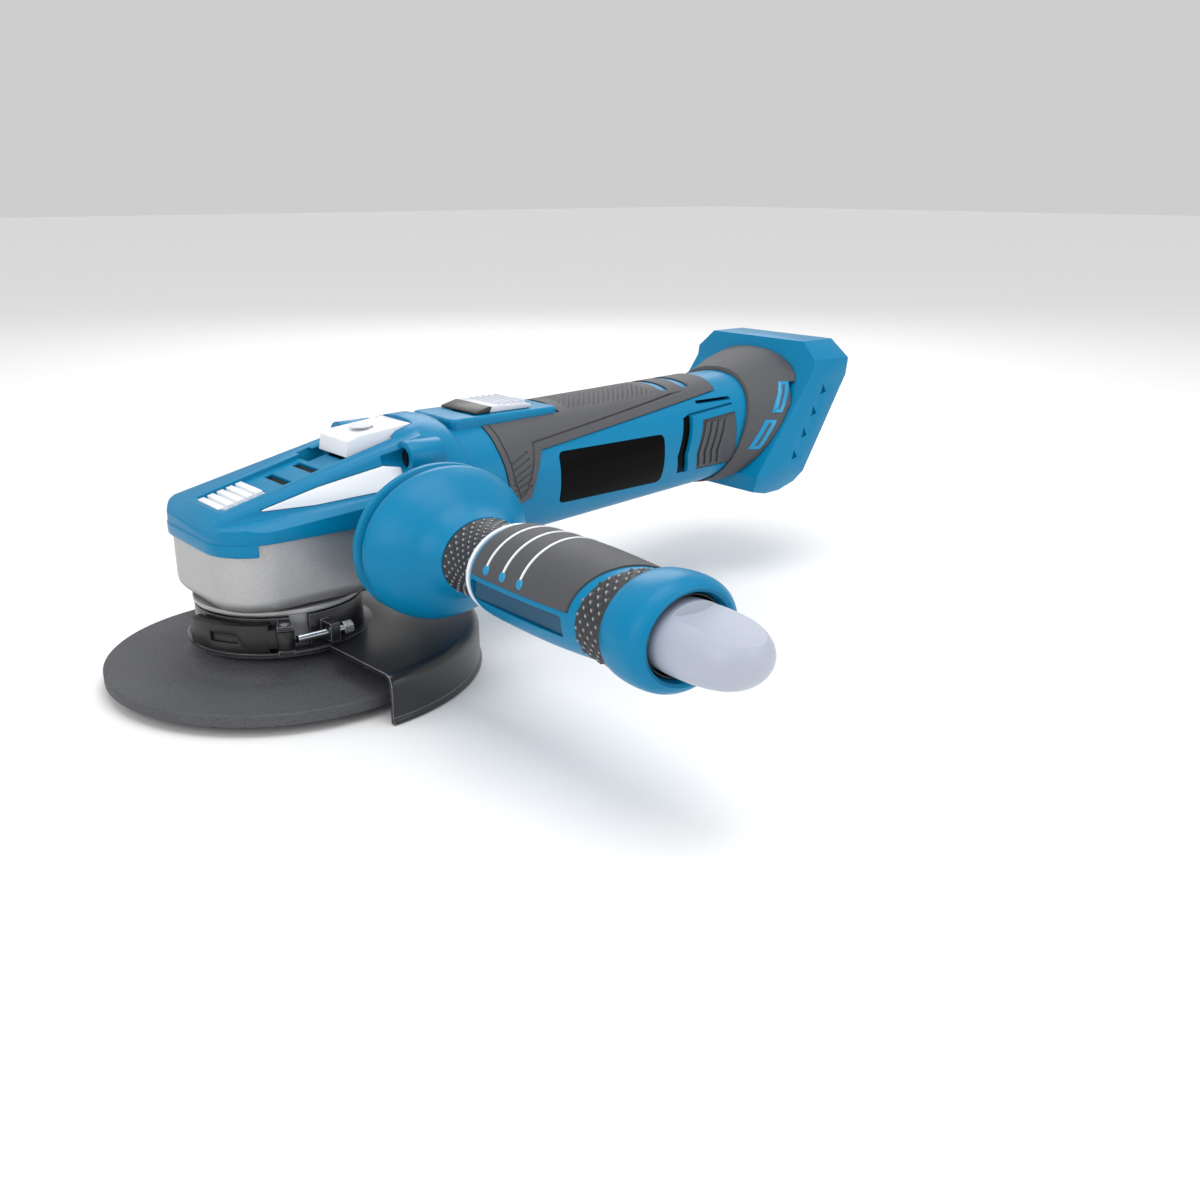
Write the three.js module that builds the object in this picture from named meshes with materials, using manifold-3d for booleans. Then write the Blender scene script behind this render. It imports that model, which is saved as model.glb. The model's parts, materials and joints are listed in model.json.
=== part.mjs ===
// A cordless angle grinder for 115 mm wheels, as an assembly of its separate pieces.
// Millimetres. X runs back along the tool to the battery foot, Z runs up the spindle, and the
// side handle points to -Y. Heights are measured from the wheel's upper face while modelling;
// at the end the whole tool is lifted so that the flat end of the spindle is the origin.
import * as THREE from "three";
import { mergeVertices } from "three/addons/utils/BufferGeometryUtils.js";
import Module from "manifold-3d";

const wasm = await Module();
wasm.setup();

// ---------------------------------------------------------------- clearances
const fit = 0.2; // between pieces that touch
const running = 0.1; // radial, around a turning shaft
const slideGap = 0.4; // around a button or slider that travels

// ---------------------------------------------------------------- wheel and spindle
const wheelRadius = 57.5;
const wheelThickness = 4;
const wheelBore = 11.1;
const hubRise = 5; // how far the wheel's centre is set up towards the tool
const hubRadius = 25;
const rampRadius = 33;
const spindleRadius = 7;
const journalRadius = 6; // the spindle inside its lower bearing
const gearSeatRadius = 5;
const topJournalRadius = 4;
const nutRadius = 15;
const nutThickness = 4.6;
const noseInset = 0.4; // the spindle ends just inside the nut
const flangeRadius = 20;
const flangeTop = 10;

// ---------------------------------------------------------------- gears
const pinionTeeth = 11;
const ringTeeth = 37;
const gearModule = 1.05;
const faceWidth = 7;
const addendum = 0.84;
const dedendum = 1.15;
const toothShare = 0.43; // tooth thickness over pitch, which leaves backlash
const pressureAngle = (20 * Math.PI) / 180;
const motorZ = 47; // height of the motor's axis, and of the gears' common apex
const lockNotches = 12;
const lockNotchRadius = 21.8;
const lockPinRadius = 1.5;
const lockPinTurn = Math.PI / 6; // the pin stands over one notch at rest
const lockTravel = 3.5;

// ---------------------------------------------------------------- gear case and cover
const caseFront = -28;
const caseRear = 45;
const caseHalfWidth = 28;
const caseCorner = 16;
const caseBottom = 22;
const seamZ = 45; // where the cover meets the case
const caseChamfer = 4;
const cavityRadius = 25;
const bearingRadius = 16;
const bearingBottom = 11;
const bearingTop = 21;
const topBearingRadius = 8;
const topBearingBottom = 50;
const topBearingTop = 54;
const neckRadius = 25;
const neckBottom = 9.5;
const coverHalfWidth = 29.5;
const cowlRear = 59;

// ---------------------------------------------------------------- guard
const guardGap = 7; // between the wheel's edge and the guard's wall
const guardSheet = 1.5;
const guardPlateZ = 7.5;
const guardSkirt = 7; // how far the wall hangs below the wheel's upper face
const guardTurn = (3 * Math.PI) / 180;
const bandHeight = 10.3;
const bandSheet = 1.8;

// ---------------------------------------------------------------- motor
const shaftRadius = 2.5;
const bulkheadRadius = 15;
const shaftBearingRadius = 9.5;
const shaftBearingLength = 6;
const fanFront = 48;
const fanRear = 58;
const fanRadius = 19;
const motorFront = 64;
const motorRear = 120;
const canRadius = 17;
const canWall = 1.4;
const magnetThickness = 3.2;
const airGap = 0.6; // between the magnets and the rotor
const rotorRadius = canRadius - canWall - fit - magnetThickness - airGap;
const brushReach = canRadius - 3.4;
const commutatorRadius = 5.2;
const rearBearingRadius = 6.6;

// ---------------------------------------------------------------- body
const bodyFront = cowlRear + fit;
const bodyRear = 203;
const bodyWall = 2.3;
const bodyNear = { x: 70, z: 47, halfWidth: 27.5, halfHeight: 23.2 };
const bodyFar = { x: bodyRear - 3, z: 53, halfWidth: 24.3, halfHeight: 21.3 };
const squareness = 2.25;
const rubberDepth = 1.1;
const rubberProud = 0.5;
const rubberRear = bodyRear - 16;
const rubberWindows = { places: [bodyRear - 43, bodyRear - 32], length: 4, halfWidth: 12 };
const switchPad = { front: 62, rear: 108, halfWidth: 13.5, top: 71.8 };
const slider = { front: 73, rear: 98, halfWidth: 11, thickness: 2 };
const sliderTravel = 8;
const sliderStem = 4;
const recessDepth = 1; // of the pockets for the label plates and vent panels
const labelProud = 0.1;
const ventProud = 0.9;
const labelSize = { front: 99, rear: 150, bottom: 39, top: 57.5 };
const ventSize = { front: bodyRear - 38, rear: bodyRear - 15.5, bottom: 44, top: 60 };

// ---------------------------------------------------------------- battery foot
const footHalfWidth = 34;
const footTopHalfWidth = 26;
const footTop = 87;
const footFace = { x: bodyRear + 15, z: 30.5, rise: 50 }; // lower edge and length of the battery face
const footLean = Math.atan2(26.5, 42.5); // the face leans back from upright
const pocketDepth = 9;
const pocketHalfWidth = 27;
const railInset = 2.6;
const wireHoleRadius = 7;
const flareWall = 3;
const flareStep = 1.8; // how far the flare stands over the body tube
const flareLean = 0.42;
const flareMiddle = 56.5;
const flareHalfHeight = 26.5;
// The leaning front edge of the foot's band.
const bandFoot = { x: bodyRear - 10, z: 36, rise: 40, slope: 31 / 40 };

// ---------------------------------------------------------------- side handle
const handleX = 33;
const handleZ = 42.5;
const bossRadius = 11;
const bossReach = 34; // how far the threaded boss stands from the tool's middle
const studRadius = 5;
const studInner = 19;
const washerThickness = 1.5;
const handleFlatness = 0.82; // height over width of the oval handle
const rimRadius = 29.6;
const neckStart = 73;
const gripStart = 88;
const gripEnd = 148;
const ringEnd = gripEnd + 16;
const capEnd = ringEnd + 24;

// ================================================================ making solids

// A closed geometry as a solid whose faces point outwards.
function toSolid(geometry) {
  const bare = geometry.index ? geometry.toNonIndexed() : geometry.clone();
  for (const name of Object.keys(bare.attributes)) {
    if (name !== "position") bare.deleteAttribute(name);
  }
  const merged = mergeVertices(bare, 1e-4);
  const triVerts = new Uint32Array(merged.index.array);
  const vertProperties = merged.attributes.position.array;
  const solid = new wasm.Manifold(new wasm.Mesh({ numProp: 3, vertProperties, triVerts }));
  if (solid.volume() > 0) return solid;
  const turned = triVerts.slice().reverse();
  return new wasm.Manifold(new wasm.Mesh({ numProp: 3, vertProperties, triVerts: turned }));
}

function joined(...solids) {
  return solids.reduce((sum, next) => sum.add(next));
}

function without(solid, ...cuts) {
  return cuts.reduce((rest, cut) => rest.subtract(cut), solid);
}

// The same solid on the other side of the tool's middle plane.
function mirrored(solid) {
  return solid.mirror([0, 1, 0]);
}

function box(x0, x1, y0, y1, z0, z1) {
  const geometry = new THREE.BoxGeometry(x1 - x0, y1 - y0, z1 - z0);
  geometry.translate((x0 + x1) / 2, (y0 + y1) / 2, (z0 + z1) / 2);
  return toSolid(geometry);
}

// Turns a shape drawn about the Y axis so that it lies along the named axis.
function layAlong(geometry, axis) {
  if (axis === "x") geometry.rotateZ(-Math.PI / 2);
  if (axis === "z") geometry.rotateX(Math.PI / 2);
  return geometry;
}

function rod(axis, radius, from, to, centre = [0, 0, 0], sides = 24) {
  const geometry = new THREE.CylinderGeometry(radius, radius, to - from, sides);
  geometry.translate(0, (from + to) / 2, 0);
  layAlong(geometry, axis).translate(...centre);
  return toSolid(geometry);
}

// A turned solid: its outline is a list of [radius, distance along the axis] that closes on itself.
function turned(axis, outline, centre = [0, 0, 0], sides = 24) {
  const points = [...outline, outline[0]].map(([r, t]) => new THREE.Vector2(r, t));
  const geometry = new THREE.LatheGeometry(points, sides);
  layAlong(geometry, axis).translate(...centre);
  return toSolid(geometry);
}

function tube(axis, inner, outer, from, to, centre = [0, 0, 0], sides = 24) {
  const outline = [[inner, from], [outer, from], [outer, to], [inner, to]];
  return turned(axis, outline, centre, sides);
}

// A flat outline pushed along an axis: [x, y] along z, [x, z] along y, or [y, z] along x.
function prism(axis, outline, from, to) {
  const shape = new THREE.Shape(outline.map(([u, v]) => new THREE.Vector2(u, v)));
  const geometry = new THREE.ExtrudeGeometry(shape, { depth: to - from, bevelEnabled: false });
  const [x, y, z] = [new THREE.Vector3(1, 0, 0), new THREE.Vector3(0, 1, 0), new THREE.Vector3(0, 0, 1)];
  const place = new THREE.Matrix4();
  if (axis === "z") place.makeTranslation(0, 0, from);
  if (axis === "y") place.makeBasis(x, z, y.negate()).setPosition(0, to, 0);
  if (axis === "x") place.makeBasis(y, z, x).setPosition(from, 0, 0);
  return toSolid(geometry.applyMatrix4(place));
}

// A skin through a row of rings that hold equally many points, with a flat fan at each end.
function loft(rings) {
  const count = rings[0].length;
  const positions = [];
  const put = (...corners) => corners.forEach((corner) => positions.push(...corner));
  for (let k = 0; k + 1 < rings.length; k++) {
    for (let i = 0; i < count; i++) {
      const j = (i + 1) % count;
      put(rings[k][i], rings[k][j], rings[k + 1][j]);
      put(rings[k][i], rings[k + 1][j], rings[k + 1][i]);
    }
  }
  const [first, last] = [rings[0], rings[rings.length - 1]];
  for (let i = 1; i + 1 < count; i++) {
    put(first[0], first[i + 1], first[i]);
    put(last[0], last[i], last[i + 1]);
  }
  const geometry = new THREE.BufferGeometry();
  geometry.setAttribute("position", new THREE.Float32BufferAttribute(positions, 3));
  return toSolid(geometry);
}

// An oval of the squircle kind, standing across the tool at x.
function ovalRing(x, centreZ, halfWidth, halfHeight, count = 28) {
  const bend = (value) => Math.sign(value) * Math.abs(value) ** (2 / squareness);
  return Array.from({ length: count }, (_, i) => {
    const angle = (2 * Math.PI * i) / count;
    return [x, halfWidth * bend(Math.cos(angle)), centreZ + halfHeight * bend(Math.sin(angle))];
  });
}

function roundedRectangle(x0, x1, y0, y1, radius, steps = 8) {
  const corners = [
    [x1 - radius, y1 - radius, 0],
    [x0 + radius, y1 - radius, 1],
    [x0 + radius, y0 + radius, 2],
    [x1 - radius, y0 + radius, 3],
  ];
  return corners.flatMap(([cx, cy, quarter]) =>
    Array.from({ length: steps + 1 }, (_, i) => {
      const angle = ((quarter + i / steps) * Math.PI) / 2;
      return [cx + radius * Math.cos(angle), cy + radius * Math.sin(angle)];
    }),
  );
}

// ================================================================ wheel, spindle and nut

function grindingDisc() {
  const hubBottom = hubRise - wheelThickness;
  return turned("z", [
    [wheelBore, hubBottom],
    [hubRadius, hubBottom],
    [rampRadius, -wheelThickness],
    [wheelRadius, -wheelThickness],
    [wheelRadius, 0],
    [rampRadius, 0],
    [hubRadius, hubRise],
    [wheelBore, hubRise],
  ], [0, 0, 0], 48);
}

function innerFlange() {
  const spigot = wheelBore - fit;
  const seat = hubRise + fit;
  return turned("z", [
    [spindleRadius + fit, hubRise - wheelThickness + 1],
    [spigot, hubRise - wheelThickness + 1],
    [spigot, seat],
    [flangeRadius, seat],
    [flangeRadius, flangeTop - 2],
    [flangeRadius - 6, flangeTop],
    [spindleRadius + fit, flangeTop],
  ]);
}

const nutTop = hubRise - wheelThickness - fit;
const nutBottom = nutTop - nutThickness;
const spindleNose = nutBottom + noseInset;

function lockNut() {
  const ring = tube("z", spindleRadius + fit, nutRadius, nutBottom, nutTop);
  const pinHoles = [0, 1, 2, 3].map((i) => {
    const angle = (i * Math.PI) / 2;
    const across = (spindleRadius + nutRadius) / 2;
    const at = [across * Math.cos(angle), across * Math.sin(angle), 0];
    return rod("z", 1.8, nutBottom - 1, nutBottom + 3, at, 16);
  });
  return without(ring, ...pinHoles);
}

const ringGearBottom = 26.5;
const gearHubTop = 42.5;

function spindle() {
  const shoulder = flangeTop + fit;
  return turned("z", [
    [0, spindleNose],
    [spindleRadius - 0.8, spindleNose],
    [spindleRadius, spindleNose + 0.8],
    [spindleRadius, shoulder],
    [journalRadius, shoulder],
    [journalRadius, ringGearBottom - 1],
    [gearSeatRadius, ringGearBottom - 1],
    [gearSeatRadius, gearHubTop],
    [topJournalRadius, gearHubTop],
    [topJournalRadius, topBearingTop - 0.5],
    [0, topBearingTop - 0.5],
  ], [0, 0, 0], 24);
}

// ================================================================ bevel gears

const ringPitch = (ringTeeth * gearModule) / 2;
const pinionPitch = (pinionTeeth * gearModule) / 2;
const coneLength = Math.hypot(ringPitch, pinionPitch);
const toeShare = (coneLength - faceWidth) / coneLength;
const involute = (angle) => Math.tan(angle) - angle;

// Points of one bevel gear's cone: `rise` is measured square to the pitch cone, away from the axis.
// The axis is +X and the apex is the origin, and `share` shrinks the point towards the apex.
function conePoint(coneAngle, rise, angle, share) {
  const along = coneLength * Math.cos(coneAngle) - rise * Math.sin(coneAngle);
  const out = coneLength * Math.sin(coneAngle) + rise * Math.cos(coneAngle);
  return [share * along, share * out * Math.cos(angle), share * out * Math.sin(angle)];
}

// Half of a tooth's angle about the gear's axis, for an involute drawn on the unrolled back cone.
function toothHalfAngle(coneAngle, pitchRadius, rise) {
  const unrolled = pitchRadius / Math.cos(coneAngle);
  const base = unrolled * Math.cos(pressureAngle);
  const reach = Math.max(unrolled + rise, base);
  const here = Math.acos(base / reach);
  const atPitch = (toothShare * Math.PI * gearModule) / (2 * unrolled);
  return (atPitch + involute(pressureAngle) - involute(here)) / Math.cos(coneAngle);
}

// A gear with many teeth has nearly straight flanks, so its teeth need no corner at the pitch line.
function tooth(coneAngle, pitchRadius, turn) {
  const manyTeeth = coneAngle > Math.PI / 4;
  const rises = manyTeeth ? [-dedendum - 0.3, addendum] : [-dedendum - 0.3, 0, addendum];
  const section = (share) => {
    const side = (sign) => rises.map((rise) => {
      const angle = turn + sign * toothHalfAngle(coneAngle, pitchRadius, rise);
      return conePoint(coneAngle, rise, angle, share);
    });
    return [...side(-1), ...side(1).reverse()];
  };
  return loft([section(toeShare), section(1)]);
}

// A bevel gear about +X with its apex at the origin. `back` continues its outline behind the teeth.
function bevelGear(teeth, pitchRadius, coneAngle, firstTurn, back) {
  const [heelX, heelR] = conePoint(coneAngle, -dedendum, 0, 1);
  const [toeX, toeR] = conePoint(coneAngle, -dedendum, 0, toeShare);
  const body = turned("x", [[toeR, toeX], [heelR, heelX], ...back]);
  const step = (2 * Math.PI) / teeth;
  const turns = Array.from({ length: teeth }, (_, i) => firstTurn + i * step);
  const all = turns.map((turn) => tooth(coneAngle, pitchRadius, turn));
  return joined(body, ...all);
}

// The gear's drawing axis +X is turned down to -Z, and its apex is lifted to the motor's axis.
function ringGear() {
  const coneAngle = Math.atan2(ringTeeth, pinionTeeth);
  const behind = motorZ - ringGearBottom;
  const rimTop = motorZ - 39.2;
  const rimRadius = lockNotchRadius + 1.4;
  const hub = motorZ - gearHubTop + fit;
  const back = [
    [lockNotchRadius - 2.3, rimTop],
    [rimRadius, rimTop],
    [rimRadius, behind - 7],
    [gearSeatRadius + 4, behind],
    [gearSeatRadius + fit, behind],
    [gearSeatRadius + fit, hub],
    [gearSeatRadius + 4, hub],
  ];
  const lying = bevelGear(ringTeeth, ringPitch, coneAngle, Math.PI / 2 + Math.PI / ringTeeth, back);
  const standing = lying.rotate([0, 90, 0]).translate([0, 0, motorZ]);
  const notches = Array.from({ length: lockNotches }, (_, i) => {
    const angle = (2 * Math.PI * i) / lockNotches;
    const at = [lockNotchRadius * Math.cos(angle), lockNotchRadius * Math.sin(angle), 0];
    return rod("z", lockPinRadius + slideGap, ringGearBottom, motorZ - rimTop + 1, at, 8);
  });
  return without(standing, ...notches);
}

function pinion() {
  const coneAngle = Math.atan2(pinionTeeth, ringTeeth);
  const bore = shaftRadius + fit;
  const back = [
    [5, ringPitch + 2],
    [4, ringPitch + 5],
    [bore, ringPitch + 5],
    [bore, toeShare * ringPitch],
  ];
  return bevelGear(pinionTeeth, pinionPitch, coneAngle, -Math.PI / 2, back).translate([0, 0, motorZ]);
}

// ================================================================ gear case and its bearings

function bearing(axis, bore, outer, from, to, centre = [0, 0, 0]) {
  const shieldInset = 0.6;
  const race = (outer - bore) / 4;
  const outline = [
    [bore, from],
    [bore + race, from],
    [bore + race, from + shieldInset],
    [outer - race, from + shieldInset],
    [outer - race, from],
    [outer, from],
    [outer, to],
    [bore, to],
  ];
  return turned(axis, outline, centre);
}

function bearingRetainer() {
  const bore = bearingRadius + running;
  const plateBottom = caseBottom - 1.7;
  return turned("z", [
    [spindleRadius + 2, neckBottom + fit + 0.5],
    [neckRadius - 2, neckBottom + fit + 0.5],
    [neckRadius, neckBottom + 2],
    [neckRadius, plateBottom],
    [neckRadius + 2.5, plateBottom],
    [neckRadius + 2.5, caseBottom - fit],
    [bore, caseBottom - fit],
    [bore, bearingBottom - fit],
    [spindleRadius + 2, bearingBottom - fit],
  ]);
}

function caseOutline(inset, z) {
  const outline = roundedRectangle(
    caseFront + inset,
    caseRear - inset / 4,
    -caseHalfWidth + inset,
    caseHalfWidth - inset,
    caseCorner - inset,
  );
  return outline.map(([x, y]) => [x, y, z]);
}

function handleBoss(grow) {
  const middle = [handleX, 0, handleZ];
  const reach = bossReach + (grow > 0 ? 1 : 0);
  const near = rod("y", bossRadius + grow, -reach, -caseHalfWidth + 3, middle);
  return joined(near, mirrored(near));
}

function handleSockets() {
  const bore = rod("y", studRadius + 0.3, -bossReach - 1, -studInner + 1.5, [handleX, 0, handleZ], 32);
  return joined(bore, mirrored(bore));
}

function gearCase() {
  const outer = loft([
    caseOutline(caseChamfer, caseBottom),
    caseOutline(caseChamfer / 3, caseBottom + caseChamfer * 0.6),
    caseOutline(0, caseBottom + caseChamfer * 1.6),
    caseOutline(0, seamZ),
  ]);
  const bulkhead = rod("x", bulkheadRadius, 36, caseRear, [0, 0, motorZ]);
  const cavity = rod("z", cavityRadius, caseBottom + 3.5, seamZ + 1);
  const spindleBore = rod("z", bearingRadius + running, caseBottom - 1, caseBottom + 4);
  const pinionRoom = rod("x", pinionPitch + 2, 8, caseRear - shaftBearingLength - 1.5, [0, 0, motorZ]);
  const shaftBore = rod("x", shaftRadius + 1.5, 8, caseRear + 1, [0, 0, motorZ], 16);
  const bearingPocket = rod(
    "x", shaftBearingRadius + running, caseRear - shaftBearingLength - fit, caseRear + 1, [0, 0, motorZ],
  );
  const pinWell = rod("z", lockPinRadius + slideGap, 34, seamZ + 1, lockPinPlace(), 16);
  return without(
    joined(outer, bulkhead, handleBoss(0)),
    buttonWell(), cavity, spindleBore, pinionRoom, shaftBore, bearingPocket, handleSockets(), pinWell,
  );
}

// ================================================================ gear cover

const coverFrontTop = { x: -23, z: 52.5, halfWidth: 13.4 };
const coverRearTop = { x: 35, z: 67, halfWidth: 18 };
const coverEnd = 47;

// The cover's sloping top, as a height at x.
function coverTopZ(x) {
  const slope = (coverRearTop.z - coverFrontTop.z) / (coverRearTop.x - coverFrontTop.x);
  return coverFrontTop.z + slope * (x - coverFrontTop.x);
}

function railHalfWidth(x) {
  const share = (x - coverFrontTop.x) / (coverRearTop.x - coverFrontTop.x);
  return coverFrontTop.halfWidth + share * (coverRearTop.halfWidth - coverFrontTop.halfWidth);
}

// The cover's outline across the tool at x: a ledge at each side, a leaning flank and a flat top.
function coverSection(x) {
  const ledge = 48 + (x - caseFront) * 0.07;
  const rail = railHalfWidth(x);
  const half = [
    [coverHalfWidth, seamZ + fit - 3],
    [coverHalfWidth, ledge],
    [coverHalfWidth - 2.6, ledge + 1.6],
    [rail + 2.2, coverTopZ(x) - 1.6],
    [rail + 0.6, coverTopZ(x)],
  ];
  const left = half.map(([y, z]) => [x, -y, z]).reverse();
  return [...half.map(([y, z]) => [x, y, z]), ...left];
}

function coverWedge() {
  const plan = roundedRectangle(
    caseFront - 0.8, coverEnd, -coverHalfWidth, coverHalfWidth, caseCorner + 0.5,
  );
  const front = caseFront - 0.8;
  const side = [
    [front, seamZ + fit],
    [coverEnd, seamZ + fit],
    [coverEnd, coverTopZ(coverEnd)],
    [coverFrontTop.x, coverFrontTop.z],
    [front + 1, seamZ + 3],
  ];
  const flanks = loft([coverSection(front - 1), coverSection(coverEnd)]);
  return prism("z", plan, seamZ - 5, 90).intersect(prism("y", side, -40, 40)).intersect(flanks);
}

const screwPlace = [0, -22.5, 63.5]; // the left cover screw's axis
const earRadius = 5.6;
const screwSeat = 40.5;
const screwRadius = 1.9;
const screwHeadRadius = 3.3;
const screwHeadLength = 2.2;
const screwEnd = 49;
const earSize = { front: 37, rear: 50 };

function cowl() {
  const ring = loft([
    ovalRing(38, 49, 25.5, 19.5),
    ovalRing(42, 48.5, 27.8, 23),
    ovalRing(48, 48.2, 29.3, 25),
    ovalRing(56, 48, 29.4, 25.4),
    ovalRing(cowlRear, 47.8, 28.8, 24.8),
  ]);
  const ear = rod("x", earRadius, earSize.front, earSize.rear, screwPlace, 32);
  const caseRoom = box(30, caseRear + fit, -40, 40, 0, seamZ + fit);
  return without(joined(ring, ear, mirrored(ear)), caseRoom);
}

const buttonSize = { front: 23, rear: 48, halfWidth: 9.5, bottom: 63.5, frontTop: 69, rearTop: 72 };

function lockPinPlace() {
  return [lockNotchRadius * Math.cos(lockPinTurn), lockNotchRadius * Math.sin(lockPinTurn), 0];
}

const lockArm = { front: 16.6, rear: 29, inner: 4.6, outer: 13.2, bottom: 56.2, top: 58.6 };
const springPlace = [33.5, -4.5, 0];
const springRadius = 2.6;
const springBottom = 58;

// The room that the button sinks into.
function buttonWell() {
  const { front, rear, halfWidth, bottom } = buttonSize;
  const side = halfWidth + slideGap;
  return box(front - slideGap, rear + slideGap, -side, side, bottom - lockTravel - slideGap - fit, 90);
}

function coverCuts() {
  const overGear = rod("z", cavityRadius, seamZ - 1, seamZ + 4.2);
  const overPinion = rod("x", pinionPitch + 2, 6, 38, [0, 0, motorZ]);
  const topBearing = rod("z", topBearingRadius + running, seamZ, topBearingTop + fit);
  const bulkheadRoom = rod("x", bulkheadRadius + slideGap, 35.6, 46.5, [0, 0, motorZ]);
  const cowlRoom = loft([
    ovalRing(45.4, 48, 24.5, 20.5),
    ovalRing(56, 47.8, 26.6, 22.6),
    ovalRing(cowlRear + 1, 47.6, 26.4, 22.4),
  ]);
  const armRoom = box(
    lockArm.front - slideGap, lockArm.rear + slideGap,
    lockArm.inner - slideGap, lockArm.outer + slideGap,
    lockArm.bottom - lockTravel - slideGap, buttonSize.bottom,
  );
  const pinWell = rod("z", lockPinRadius + slideGap, seamZ - 1, lockArm.top, lockPinPlace(), 16);
  const springWell = rod("z", springRadius + 0.8, springBottom - fit, buttonSize.bottom, springPlace, 24);
  return [
    overGear, overPinion, topBearing, bulkheadRoom, cowlRoom, buttonWell(), armRoom, pinWell, springWell,
  ];
}

// Cuts along the sloping top: a channel between the rails, its slots and the pocket for the slats.
const slopeTurn = Math.atan2(coverRearTop.z - coverFrontTop.z, coverRearTop.x - coverFrontTop.x);

function onSlope(x0, x1, y0, y1, sink, height) {
  const middle = (x0 + x1) / 2;
  const half = (x1 - x0) / (2 * Math.cos(slopeTurn));
  const piece = box(-half, half, y0, y1, -sink, height);
  const degrees = (-slopeTurn * 180) / Math.PI;
  return piece.rotate([0, degrees, 0]).translate([middle, 0, coverTopZ(middle)]);
}

const channelDepth = 1.4;
const leafDepth = 1.2;
const slatPocket = { front: -21.5, rear: -5, halfWidth: 8.2, depth: 2.4 };

function topCuts() {
  const channel = onSlope(-20.5, 40, -11, 11, channelDepth, 10);
  const pocket = onSlope(
    slatPocket.front, slatPocket.rear, -slatPocket.halfWidth, slatPocket.halfWidth, slatPocket.depth, 10,
  );
  const slots = [1, 11].map((x) => onSlope(x, x + 3, -7.5, 7.5, 3.2, 10));
  return [channel, pocket, ...slots];
}

// The leaf-shaped outline on the left flank; `grow` widens it all round.
function leafSlab(grow) {
  return prism("y", [
    [-11 - grow, 52.8 + grow],
    [-11 - grow, 52.4 - grow],
    [6, 52.4 - grow],
    [30, 54.2 - grow],
    [36 + grow, 57 - grow],
    [36 + grow, 60.6 + grow],
    [30, 61.6 + grow],
    [8, 57.6 + grow],
  ], -40, -5);
}

// The cover's wedge drawn in from the left flank by `depth`.
function wedgeBehindFlank(depth) {
  return coverWedge().translate([0, depth, -0.4 * depth]);
}

function sideInsert() {
  return without(coverWedge(), wedgeBehindFlank(leafDepth)).intersect(leafSlab(0));
}

function leafPocket() {
  return without(leafSlab(fit), wedgeBehindFlank(leafDepth + 2 * fit));
}

function gearCover() {
  const shape = joined(coverWedge(), cowl());
  const pocket = leafPocket();
  const screwHole = rod("x", screwRadius + fit, 30, screwEnd + 0.5, screwPlace, 12);
  const screwSink = rod("x", screwHeadRadius + fit, 30, screwSeat, screwPlace, 16);
  return without(
    shape,
    ...coverCuts(), ...topCuts(), handleBoss(0.5), handleSockets(), pocket, mirrored(pocket),
    screwHole, mirrored(screwHole), screwSink, mirrored(screwSink),
  );
}

function coverScrew() {
  const [, y, z] = screwPlace;
  const shank = rod("x", screwRadius, screwSeat - 0.5, screwEnd, screwPlace, 12);
  const head = rod("x", screwHeadRadius, screwSeat - screwHeadLength, screwSeat - fit, screwPlace, 16);
  const drive = box(earSize.front, screwSeat - 0.9, y - 0.6, y + 0.6, z - 1.8, z + 1.8);
  return without(joined(shank, head), drive);
}

function slatInsert() {
  const { front, rear, halfWidth, depth } = slatPocket;
  const half = halfWidth - fit;
  const base = onSlope(front + fit, rear - fit, -half, half, depth - fit, -channelDepth);
  const count = 5;
  const step = (rear - front - 2 * fit) / count;
  const slats = Array.from({ length: count }, (_, i) => {
    const from = front + fit + i * step;
    return onSlope(from, from + step * 0.68, -half, half, depth - 0.5, 0.2);
  });
  return joined(base, ...slats);
}

// ================================================================ spindle lock

function lockButton() {
  const side = [
    [buttonSize.front, buttonSize.bottom],
    [buttonSize.rear, buttonSize.bottom],
    [buttonSize.rear, buttonSize.rearTop],
    [buttonSize.front + 5, buttonSize.frontTop + 1],
    [buttonSize.front + 1, buttonSize.frontTop - 0.4],
  ];
  const block = prism("y", side, -buttonSize.halfWidth, buttonSize.halfWidth);
  const dish = rod("z", 4.4, 70.2, 80, [34, 0, 0], 32);
  return without(block, dish);
}

function lockPin() {
  const { front, rear, inner, outer, bottom, top } = lockArm;
  const arm = box(front, rear, inner, outer, bottom, top);
  const post = box(24, rear, inner, 9, bottom, buttonSize.bottom - fit);
  const pin = rod("z", lockPinRadius, 40.6, top, lockPinPlace(), 20);
  return joined(arm, post, pin);
}

class Helix extends THREE.Curve {
  constructor(radius, height, turns) {
    super();
    Object.assign(this, { radius, height, turns });
  }
  getPoint(t, target = new THREE.Vector3()) {
    const angle = 2 * Math.PI * this.turns * t;
    return target.set(this.radius * Math.cos(angle), this.radius * Math.sin(angle), this.height * t);
  }
}

function coilSpring(radius, wire, bottom, top, turns, centre) {
  const section = new THREE.Shape();
  section.absarc(0, 0, wire, 0, 2 * Math.PI);
  const path = new Helix(radius, top - bottom - 2 * wire, turns);
  const geometry = new THREE.ExtrudeGeometry(section, {
    extrudePath: path, steps: 12 * turns, curveSegments: 2,
  });
  geometry.translate(centre[0], centre[1], bottom + wire);
  return toSolid(geometry);
}

// ================================================================ guard and its clamp

const guardRadius = wheelRadius + guardGap + guardSheet;
const guardTop = guardPlateZ + guardSheet;
const bandInner = neckRadius + 0.4;
const bandOuter = bandInner + bandSheet;
const bandBottom = guardTop + fit;
const bandTop = bandBottom + bandHeight;

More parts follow.
